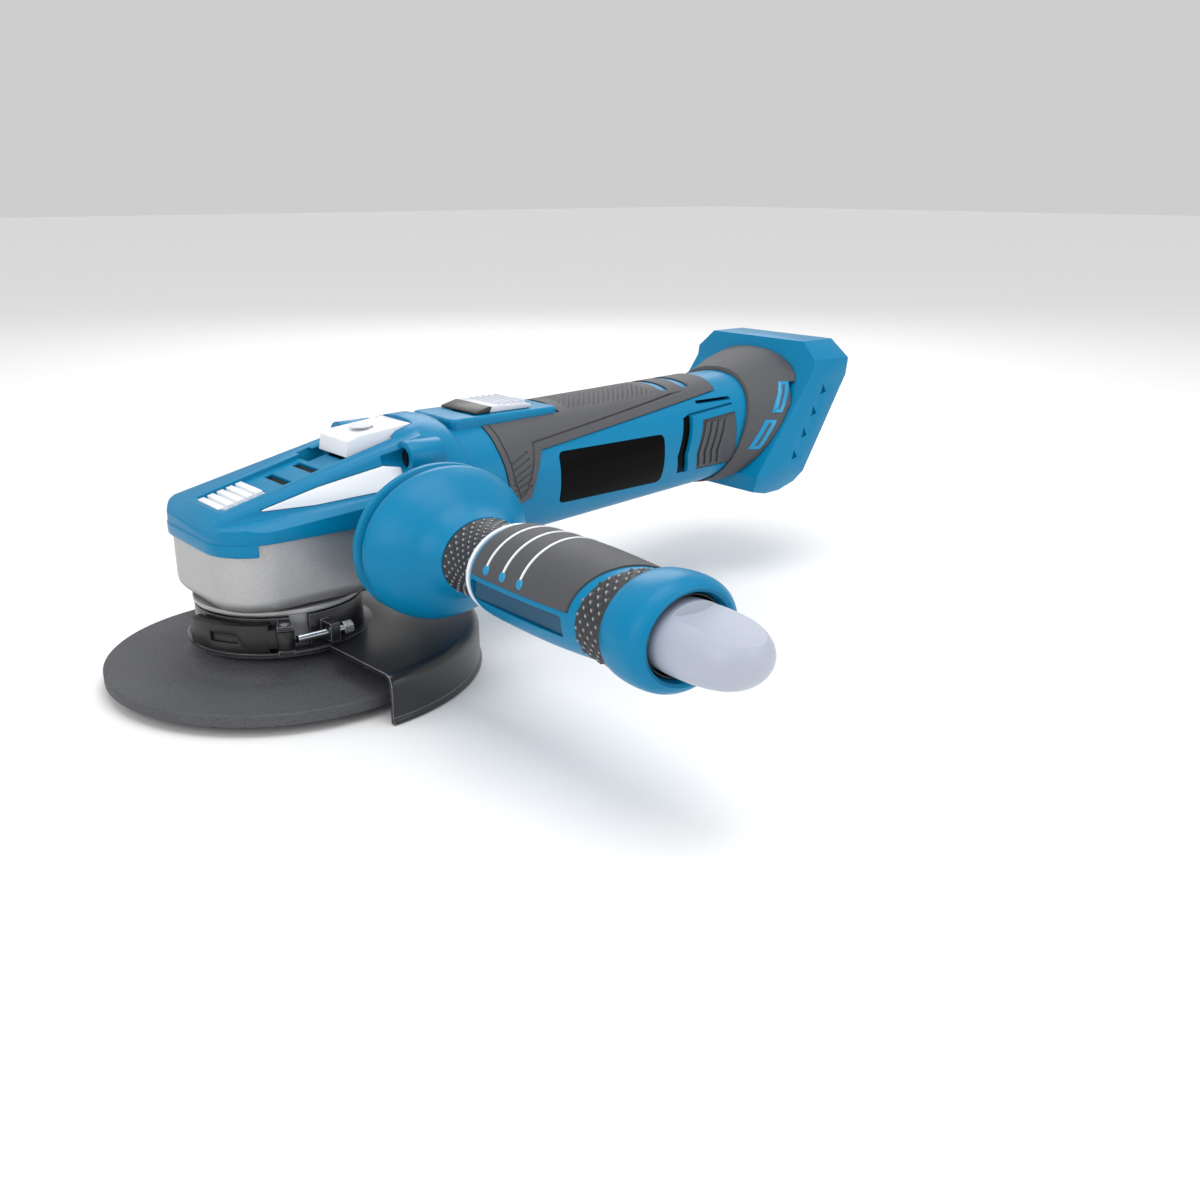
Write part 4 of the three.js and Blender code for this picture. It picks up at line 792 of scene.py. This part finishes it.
# %% Knurled sleeve
SLEEVE_SHAPE = [(grip_radius(y) + 0.25, y) for y in spaced(-131, GRIP_END, 25)]
sleeve = turned("handle_knurled_sleeve", "y", HANDLE, SLEEVE_SHAPE, FLATNESS, sides=KNURL_SIDES)
knurl(sleeve, 0.6)
cut(sleeve, slab([(3, -134.2), (40, -147), (40, -160), (3, -160)], 10, 90, "z"), keep="INTERSECT")
complete(sleeve, knurled, "handle", ["handle_core"], smooth=KNURL_SMOOTH)

# %% [markdown]
# A thick blue ring ends the grip. Its mouth is lined in black, and a scooped tongue stands in it.

# %% Ring, mouth and tongue
ring_outside = flowing([(16.2, -148), (18.2, -150.4), (19, -156), (18.5, -161), (16.6, -163.6)])
ring_inside = [(15.4, -164), (14.3, -163.4), (13.6, -161), (13.3, -154), (1, -153.2)]
ring = turned("handle_end_ring", "y", HANDLE, [*ring_outside, *ring_inside], FLATNESS, sides=128)
complete(ring, nylon_blue, "handle", ["handle_ring"])
mouth_outline = [(13.2, -153.3), (13.2, -161.6), (12.8, -161.6), (12.6, -153.9), (11.9, -153.3)]
mouth = turned("handle_mouth_liner", "y", HANDLE, mouth_outline, FLATNESS, hollow=True)
complete(mouth, nylon_black, "handle", ["handle_end_cap"])

tongue_shape = flowing([
    (11.6, -153.4), (12.2, -164), (12.0, -173), (10.3, -181), (6.4, -186.2), (0.6, -187.9),
], steps=6)
tongue = turned("handle_end_tongue", "y", HANDLE, tongue_shape, 0.8, sides=128)
scoop_axis = (HANDLE[0], 0, HANDLE[2] + 34.4)
scoop_rings = [(-164.5, 27.6, 27.6, 0), (-195, 30.6, 30.6, 0)]
scoop = grow("scoop", "y", scoop_axis, scoop_rings, sides=256)
cut(tongue, scoop)
soften(tongue, 0.7, 28, 3)
complete(tongue, abs_lavender, "handle", ["handle_end_cap"])

# %% [markdown]
# ## Wheel, guard and clamp
# A depressed-centre wheel is pressed from resin and grit, so its hub steps up towards the tool. It
# is turned as a closed outline. The guard is one pressed sheet: a flat plate that bends down into a
# wall with a small rolled lip. It is turned whole and then half of it is kept.

# %% Grinding wheel
wheel_outline = [
    (11.1, 1), (24.4, 1), (26.5, 0.4), (31.6, -3.4), (33.5, -4), (57, -4), (57.5, -3.6),
    (57.5, -0.4), (57, 0), (34.4, 0), (32.6, 0.5), (27.2, 4.4), (25, 5), (11.1, 5),
]
wheel = turned("grinding_wheel", "z", (0, 0, 0), wheel_outline, sides=160, hollow=True)
complete(wheel, grit, "spindle", ["grinding_disc"], smooth=math.radians(25))

# %% [markdown]
# The guard covers half the wheel. The slab that keeps this half is turned a little, so that the
# guard's open edge stands where it does on the tool. A flat collar joins it to the clamp.

# %% Guard
guard_outline = [
    (26, 7.5), (61.8, 7.5), (63.4, 7), (64.3, 5.8), (64.5, 4.6), (64.5, -7), (66.5, -7),
    (66.7, -6.2), (66.5, -5.4), (66, -4.8), (66, 5.2), (65.7, 6.8), (64.8, 8.2), (63.4, 8.9),
    (62.4, 9), (26, 9),
]
shell = turned("guard_shell", "z", (0, 0, 0), guard_outline, sides=160, hollow=True)
cos = math.cos(math.radians(3))
sin = math.sin(math.radians(3))
half = [(x * cos - y * sin, x * sin + y * cos) for x, y in [(0, -90), (90, -90), (90, 90), (0, 90)]]
cut(shell, slab(half, -20, 20, "z"), keep="INTERSECT")
soften(shell, 0.35, 50)
complete(shell, powder_black, "guard", ["guard"])
collar_outline = [(25.6, 7.5), (30.2, 7.5), (30.2, 8.7), (29.9, 9.05), (25.6, 9.05)]
guard_collar = turned("guard_collar", "z", (0, 0, 0), collar_outline, hollow=True)
complete(guard_collar, powder_black, "guard", ["guard"])

# %% [markdown]
# The clamp band, its lever and its screw keep their working shapes. The band's and the lever's loose
# triangles are merged into clean faces and their edges are broken, as on stamped and moulded parts.

# %% Clamp
def broken_edges(node, name, material, body, width=0.3, limit=35):
    """A working part with merged faces and slightly rounded edges."""
    piece = from_part(node, name)
    soften(piece, width, limit)
    complete(piece, material, body, [node])
    return piece


broken_edges("guard_clamp_band", "clamp_band", powder_black, "guard")
broken_edges("guard_lever", "clamp_lever", nylon_black, "lever")

# %% [markdown]
# ## Gear case
# The case is cast aluminium: a block with large rounded corners, a rounded lower edge and a round
# boss on each side for the handle. Its lower neck carries the spindle bearing.

# %% Gear case and neck
case = block(-28, 45, -28, 28, 22, 45, 16)
case.name = "cast_gear_case"
edit(case)
select_edges(case, lambda a, b: max(a.z, b.z) < at(0, 0, 22.2).z)
bpy.ops.mesh.bevel(offset=5 * MM, segments=6)
bpy.ops.object.mode_set(mode="OBJECT")
for side in (-1, 1):
    boss = turned("boss", "y", HANDLE, [(11, side * 24), (11, side * 33.2), (10.2, side * 34)])
    cut(case, boss, keep="UNION")
    stud_bore = [(side * 17.6, 5.3, 5.3, 0), (side * 36, 5.3, 5.3, 0)]
    cut(case, grow("stud_bore", "y", HANDLE, stud_bore, sides=48))
cut(case, grow("gear_room", "z", (0, 0, 0), [(25.5, 25, 25, 0), (47, 25, 25, 0)]))
cut(case, grow("bearing_bore", "z", (0, 0, 0), [(20, 16.1, 16.1, 0), (30, 16.1, 16.1, 0)]))
cut(case, grow("shaft_bore", "x", (0, 0, 47), [(8, 9.6, 9.6, 0), (50, 9.6, 9.6, 0)], sides=48))
complete(case, cast_case, "housing", ["gear_case"])
neck_outline = [
    (9, 10.2), (23.4, 10.2), (24.6, 10.8), (25, 12), (25, 20.3), (27.3, 20.3), (27.5, 20.6),
    (27.5, 21.9), (16.1, 21.9), (16.1, 10.8), (9, 10.8),
]
bearing_neck = turned("bearing_neck", "z", (0, 0, 0), neck_outline, hollow=True)
complete(bearing_neck, cast_case, "housing", ["bearing_retainer"])

# %% [markdown]
# ## Body
# The body is two moulded half shells round the motor. Their outside is an oval that is a little
# squarer than an ellipse, tall at the motor and slimmer at the grip. A plain oval tube is grown
# first, then its corners are moved out to the squarer oval with a formula, which no modifier gives.

# %% The body's oval
BODY_FRONT = 59.2
BODY_REAR = 203
NEAR = {"x": 70, "height": 47, "across": 27.5, "up": 23.2}
FAR = {"x": 200, "height": 53, "across": 24.3, "up": 21.3}
SQUARENESS = 2.25


def body_at(x):
    """Middle height, half width and half height of the body at x."""
    share = (x - NEAR["x"]) / (FAR["x"] - NEAR["x"])
    return [NEAR[key] + share * (FAR[key] - NEAR[key]) for key in ("height", "across", "up")]


def squared(piece, section, extra):
    """Moves each corner of an oval piece out to a squarer oval."""
    bend = 2 / SQUARENESS
    for corner in piece.data.vertices:
        height, across, up = section(corner.co.x / MM)
        middle = at(0, 0, height).z
        side = corner.co.y / MM / (across + extra)
        lift = (corner.co.z - middle) / MM / (up + extra)
        corner.co.y = (across + extra) * MM * math.copysign(abs(side) ** bend, side)
        corner.co.z = middle + (up + extra) * MM * math.copysign(abs(lift) ** bend, lift)
    return piece


def body_tube(name, front, rear, extra, count=12, sides=96):
    """The body's outside between two places, grown all round."""
    rings = []
    for x in spaced(front, rear, count):
        height, across, up = body_at(x)
        rings.append((x, across + extra, up + extra, height))
    return squared(grow(name, "x", (0, 0, 0), rings, sides), body_at, extra)


def skin(name, front, rear, outside, inside, shape):
    """A piece of the body's skin between two depths, cut to a shape on the near side or both."""
    piece = body_tube(name, front, rear, outside)
    cut(piece, body_tube("inside", front - 1, rear + 1, inside))
    return cut(piece, shape, keep="INTERSECT")


# %% [markdown]
# The rubber runs over the top of the body and down in a tab behind the cowl. The same outline,
# grown a little, makes its room in the shells, so the joint is an even hairline.

# %% Outlines on the body
def rubber_outline(extra=0.0):
    """The rubber's side view, grown all round."""
    return [
        (74 - extra, 95), (74 - extra, 62), (75.5 - extra, 50), (78 - extra, 41.5 - extra),
        (85 + extra, 43.5 - extra), (88 + extra, 52), (91.5 + extra, 59.5 - extra),
        (185 + extra, 70.2 - extra), (187 + extra, 74), (187 + extra, 95),
    ]


WINDOWS = (160, 171)
PEDESTAL_FRONT = 62
PEDESTAL_REAR = 108
PEDESTAL_HALF = 13.5
PEDESTAL_TOP = 71.8
LABEL = (99, 150, 39, 57.5)
SHELL_WALL = 2.3
RUBBER_DEPTH = 1.1
RUBBER_PROUD = 0.5
PANEL_DEPTH = 0.9


def knee(front, width, low, high):
    """A band that leans back from its knee to the top, as the vent's ribs do."""
    return [
        (front + 1.2, low), (front, 48), (front + 4.6, high),
        (front + 4.6 + width, high), (front + width, 48), (front + 1.2 + width, low),
    ]


VENT_ROOM = [(158.7, 41), (157.2, 48), (162.2, 62.2), (166, 63.4), (190.2, 65.1), (190.2, 41)]
VENT_PANEL = [(168.2, 41.4), (166.8, 48), (171.2, 60.4), (189.8, 62), (189.8, 41.4)]
VENT_FRAME = [
    (163.0, 41.4), (161.6, 48), (166.2, 62.6), (189.8, 64.4), (189.8, 62.2), (171.0, 60.7),
    (166.5, 48), (167.9, 41.4),
]
VENT_GAP = [(159.2, 41.4), (157.8, 48), (162.6, 62), (165.9, 62.8), (161.3, 48), (162.7, 41.4)]
SIDES = {"left": -1, "right": 1}


def reach(side, nearest):
    """From near the middle plane to well past the skin, on one side of the tool."""
    return sorted((side * nearest, side * 60))


# %% [markdown]
# The shells are one tube first: hollowed, given the pedestal of the switch, and cut for the rubber,
# the labels, the vents, a long slot over each vent and the stem of the switch. Then it is parted at
# the middle plane with a hairline between the halves.

# %% Body shells
whole = body_tube("body_shell", BODY_FRONT, BODY_REAR, 0, count=24)
cut(whole, body_tube("hollow", BODY_FRONT - 1, BODY_REAR + 1, -SHELL_WALL, count=16))
pedestal = block(PEDESTAL_FRONT, PEDESTAL_REAR, -PEDESTAL_HALF, PEDESTAL_HALF, 66.5, PEDESTAL_TOP, 2.5)
edit(pedestal)
select_edges(pedestal, lambda a, b: min(a.z, b.z) > at(0, 0, PEDESTAL_TOP - 0.1).z)
bpy.ops.mesh.bevel(offset=1.3 * MM, segments=4)
bpy.ops.object.mode_set(mode="OBJECT")
rubber_room = skin("rubber_room", 70, 190, 4, -RUBBER_DEPTH, slab(rubber_outline(0.2)))
cut(rubber_room, block(60, PEDESTAL_REAR, -PEDESTAL_HALF, PEDESTAL_HALF, 50, 95))
for x in WINDOWS:
    cut(rubber_room, block(x + 0.2, x + 3.8, -11.8, 11.8, 60, 95, 1.4))
cut(whole, rubber_room)
cut(whole, pedestal, keep="UNION")
front, rear, low, high = LABEL
for side in SIDES.values():
    near, far = reach(side, 15)
    label_room = block(front - 0.25, rear + 0.25, near, far, low - 0.25, high + 0.25, 2.2, "y")
    cut(whole, skin("label_room", 90, 160, 4, -PANEL_DEPTH, label_room))
    cut(whole, skin("vent_room", 150, 202.8, 4, -PANEL_DEPTH, slab(VENT_ROOM, near, far)))
    cut(whole, block(172, 190.5, near, far, 66.1, 67.4))
cut(whole, block(72.6, 90.4, -4.4, 4.4, 60, 95, 2))
for name, side in SIDES.items():
    half_shell = copied(whole, "body_half_shell_" + name)
    cut(half_shell, block(40, 260, *reach(side, 0.08), 0, 120), keep="INTERSECT")
    complete(half_shell, nylon_blue, "housing", ["body_shell_" + name])
bpy.data.objects.remove(whole)

# %% [markdown]
# The grip rubber is let into the shells and stands a little proud. A fine groove follows its lower
# edge, and two rounded windows show the blue shell below. The fine chevrons of the thumb pad come
# from its finish, and the side tab has slanting ridges cut into it.

# %% Grip rubber
rubber = skin("grip_rubber_skin", 70, 190, RUBBER_PROUD, -RUBBER_DEPTH + 0.15, slab(rubber_outline()))
pad_half = PEDESTAL_HALF + 0.3
cut(rubber, block(60, PEDESTAL_REAR + 0.3, -pad_half, pad_half, 50, 95))
for x in WINDOWS:
    cut(rubber, block(x, x + 4, -12, 12, 60, 95, 1.6))
groove_line = cut(slab(rubber_outline(-2.2)), slab(rubber_outline(-2.75), -70, 70))
groove = skin("groove", 70, 190, 3, RUBBER_PROUD - 0.35, groove_line)
cut(groove, block(60, 186, -14, 14, 60, 95))
cut(rubber, groove)
for number in range(6):
    foot = 44.2 + number * 2.3
    gap_line = slab([(77.2, foot), (77.2, foot + 0.7), (85.4, foot + 4.2), (85.4, foot + 3.5)])
    cut(rubber, skin("ridge_gap", 70, 100, 3, RUBBER_PROUD - 0.3, gap_line))
complete(rubber, chevrons, "housing", ["grip_rubber"])

# %% [markdown]
# A blank black plate with rounded corners follows the body on each side, a touch proud of it.

# %% Label plates
for name, side in SIDES.items():
    plate_room = block(front, rear, *reach(side, 15), low, high, 2, "y")
    plate = skin("label_plate_skin_" + name, 90, 160, 0.15, -PANEL_DEPTH + 0.1, plate_room)
    complete(plate, black_plate_and_painted_shade, "housing", ["label_plate_" + name])

# %% [markdown]
# The air vent is a dark rubber panel with four knee-shaped ribs, in a raised blue frame. A black
# sheet of painted shade lies in the gap in front of the frame.

# %% Vent panel, frame and the gap's painted shade
for name, side in SIDES.items():
    near, far = reach(side, 10)
    panel = skin("vent_ribs_" + name, 150, 202, 0.2, -PANEL_DEPTH + 0.1, slab(VENT_PANEL, near, far))
    for number in range(4):
        rib_line = knee(168.2 + 3.6 * number, 2.1, 42.5, 59.6)
        cut(panel, skin("rib", 150, 202, 1.0, -0.2, slab(rib_line, near, far)), keep="UNION")
    complete(panel, rubber_grip, "housing", ["vent_panel_" + name])
    frame_skin = skin("vent_frame_" + name, 150, 202, 1.2, -PANEL_DEPTH + 0.1, slab(VENT_FRAME, near, far))
    complete(frame_skin, nylon_blue, "housing", ["body_shell_" + name])
    # The gap in front of the frame is filled with a black sheet: painted shade.
    gap_painted_shade = skin("vent_gap_painted_shade_" + name, 150, 202, -0.35, -PANEL_DEPTH + 0.05, slab(VENT_GAP, near, far))
    complete(gap_painted_shade, black_plate_and_painted_shade, "housing", ["body_shell_" + name])

# %% [markdown]
# ## Slide switch
# A silver slider with five ribs and a dark ramp in front stands on the blue pedestal. Its stem and
# rod stay as the working parts they are.

# %% Slide switch
slider_outline = [
    (79.6, 72), (97.6, 72), (98, 72.4), (98, 73.1), (97.2, 73.5), (82, 74.3), (80.6, 74.1),
]
slider = slab(slider_outline, -10.6, 10.6)
for number in range(5):
    x = 84 + 2.7 * number
    rib_outline = [(x, 73), (x + 1.5, 73), (x + 1.1, 74.75), (x + 0.4, 74.75)]
    cut(slider, slab(rib_outline, -9.4, 9.4), keep="UNION")
cut(slider, block(81, 90, -4, 4, 67.4, 72.2), keep="UNION")
slider.name = "slide_switch_plate"
soften(slider, 0.2, 40)
complete(slider, abs_silver, "switch", ["slide_switch"])
ramp = slab([(73, 72), (79.5, 72), (80.5, 74.1), (79.4, 74.3), (73, 72.7)], -10.9, 10.9)
ramp.name = "slide_switch_ramp"
soften(ramp, 0.3, 30)
complete(ramp, nylon_black, "switch", ["slide_switch"])

# %% [markdown]
# ## Cover and foot
# These shapes are already exact in the working model, so each piece is that part with its faces
# merged and its edges broken, the way a moulded edge is. The bevel catches light along every rim.

# %% Cover, foot and small mouldings
MOULDINGS = [
    ("gear_cover", "gear_cover_moulding", nylon_blue, "blue_plastic", 0.5),
    ("battery_foot", "battery_foot_moulding", nylon_blue, "blue_plastic", 0.6),
    ("foot_rubber", "foot_rubber_moulding", rubber_grip, "rubber", 0.4),
    ("vent_insert", "vent_slats", abs_white, "white_plastic", 0.2),
    ("side_insert_left", "side_leaf_left", abs_white, "white_plastic", 0.3),
    ("cover_screw_left", "cover_screw_head_left", black_steel, "dark_steel", 0.15),
    ("side_insert_right", "side_leaf_right", abs_white, "white_plastic", 0.3),
    ("cover_screw_right", "cover_screw_head_right", black_steel, "dark_steel", 0.15),
]
for node, name, material, slot, width in MOULDINGS:
    broken_edges(node, name, material, "housing", width, 30)

# %% [markdown]
# The lock button is a white block with a silver dish for the fingertip. Black sheets of painted
# shade lie in the two slots of the cover, so they read as openings.

# %% Lock button and painted shade in the slots
button = from_part("lock_button", "lock_button_cap")
soften(button, 0.45, 35, 3)
complete(button, abs_white, "lock", ["lock_button"])
recess = turned("lock_button_recess", "z", (34, 0, 0), [(0.4, 71.05), (3.5, 71.1), (3.9, 71.4)], 1, 48)
complete(recess, abs_silver, "lock", ["lock_button"])


def top_line(x):
    """Height of the cover's sloping top at x."""
    return 52.5 + 14.5 * (x + 23) / 58


for number, x in enumerate((1, 11), 1):
    low = top_line(x) - 3.6
    high = top_line(x + 3) - 2.1
    outline = [(x + 0.1, low), (x + 2.9, low + 0.7), (x + 2.9, high), (x + 0.1, high - 0.7)]
    # A black sheet in each slot: painted shade.
    slot_shade_sheet = slab(outline, -7.4, 7.4)
    slot_shade_sheet.name = f"slot_painted_shade_{number}"
    complete(slot_shade_sheet, black_plate_and_painted_shade, "housing", ["gear_cover"])

# %% [markdown]
# The return spring sits under the button. It shortens as the button is pressed; the piece is a merged
# copy of the working spring with a mesh of its own.

# %% Lock spring
spring = from_part("lock_spring", "lock_return_spring")
complete(spring, zinc_steel, "housing", ["lock_spring"])
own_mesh(spring)

# %% [markdown]
# Two trims finish the outline: a bib at the nose, where the cover laps a little over the casting,
# and a light blue rim round each slanted window of the dark flare.

# %% Nose bib and window rims
bib = block(-29.1, 60, -29.8, 29.8, 41.4, 45.3, 16.8)
cut(bib, block(-40, -18, -60, 60, 30, 60), keep="INTERSECT")
bib.name = "nose_bib"
soften(bib, 0.4, 40)
complete(bib, nylon_blue, "housing", ["gear_cover"])

RIM_LENGTH = 3.8
RIM_WIDTH = 1.0


def slanted(front, low, rear, high, inset=0.0):
    """A leaning window's outline, drawn in all round by the inset."""
    lean = (rear - front) / (high - low) * inset
    across = 1.2 * inset
    return [
        (front + lean + across, low + inset),
        (front + RIM_LENGTH + lean - across, low + inset),
        (rear + RIM_LENGTH - lean - across, high - inset),
        (rear - lean + across, high - inset),
    ]


RIMS = {
    "low": (194.6, 46.5, 202.4, 57.5),
    "high": (205.4, 60.5, 213.4, 71.5),
}
for name, side in SIDES.items():
    near, far = reach(side, 8)
    for level, window in RIMS.items():
        rim = from_part("foot_rubber", "window_rim_" + level + "_" + name)
        cut(rim, slab(slanted(*window), near, far), keep="INTERSECT")
        cut(rim, slab(slanted(*window, RIM_WIDTH), near - 1, far + 1))
        edit(rim)
        bpy.ops.transform.shrink_fatten(value=0.3 * MM)
        bpy.ops.object.mode_set(mode="OBJECT")
        complete(rim, nylon_bright, "housing", ["foot_rubber"])
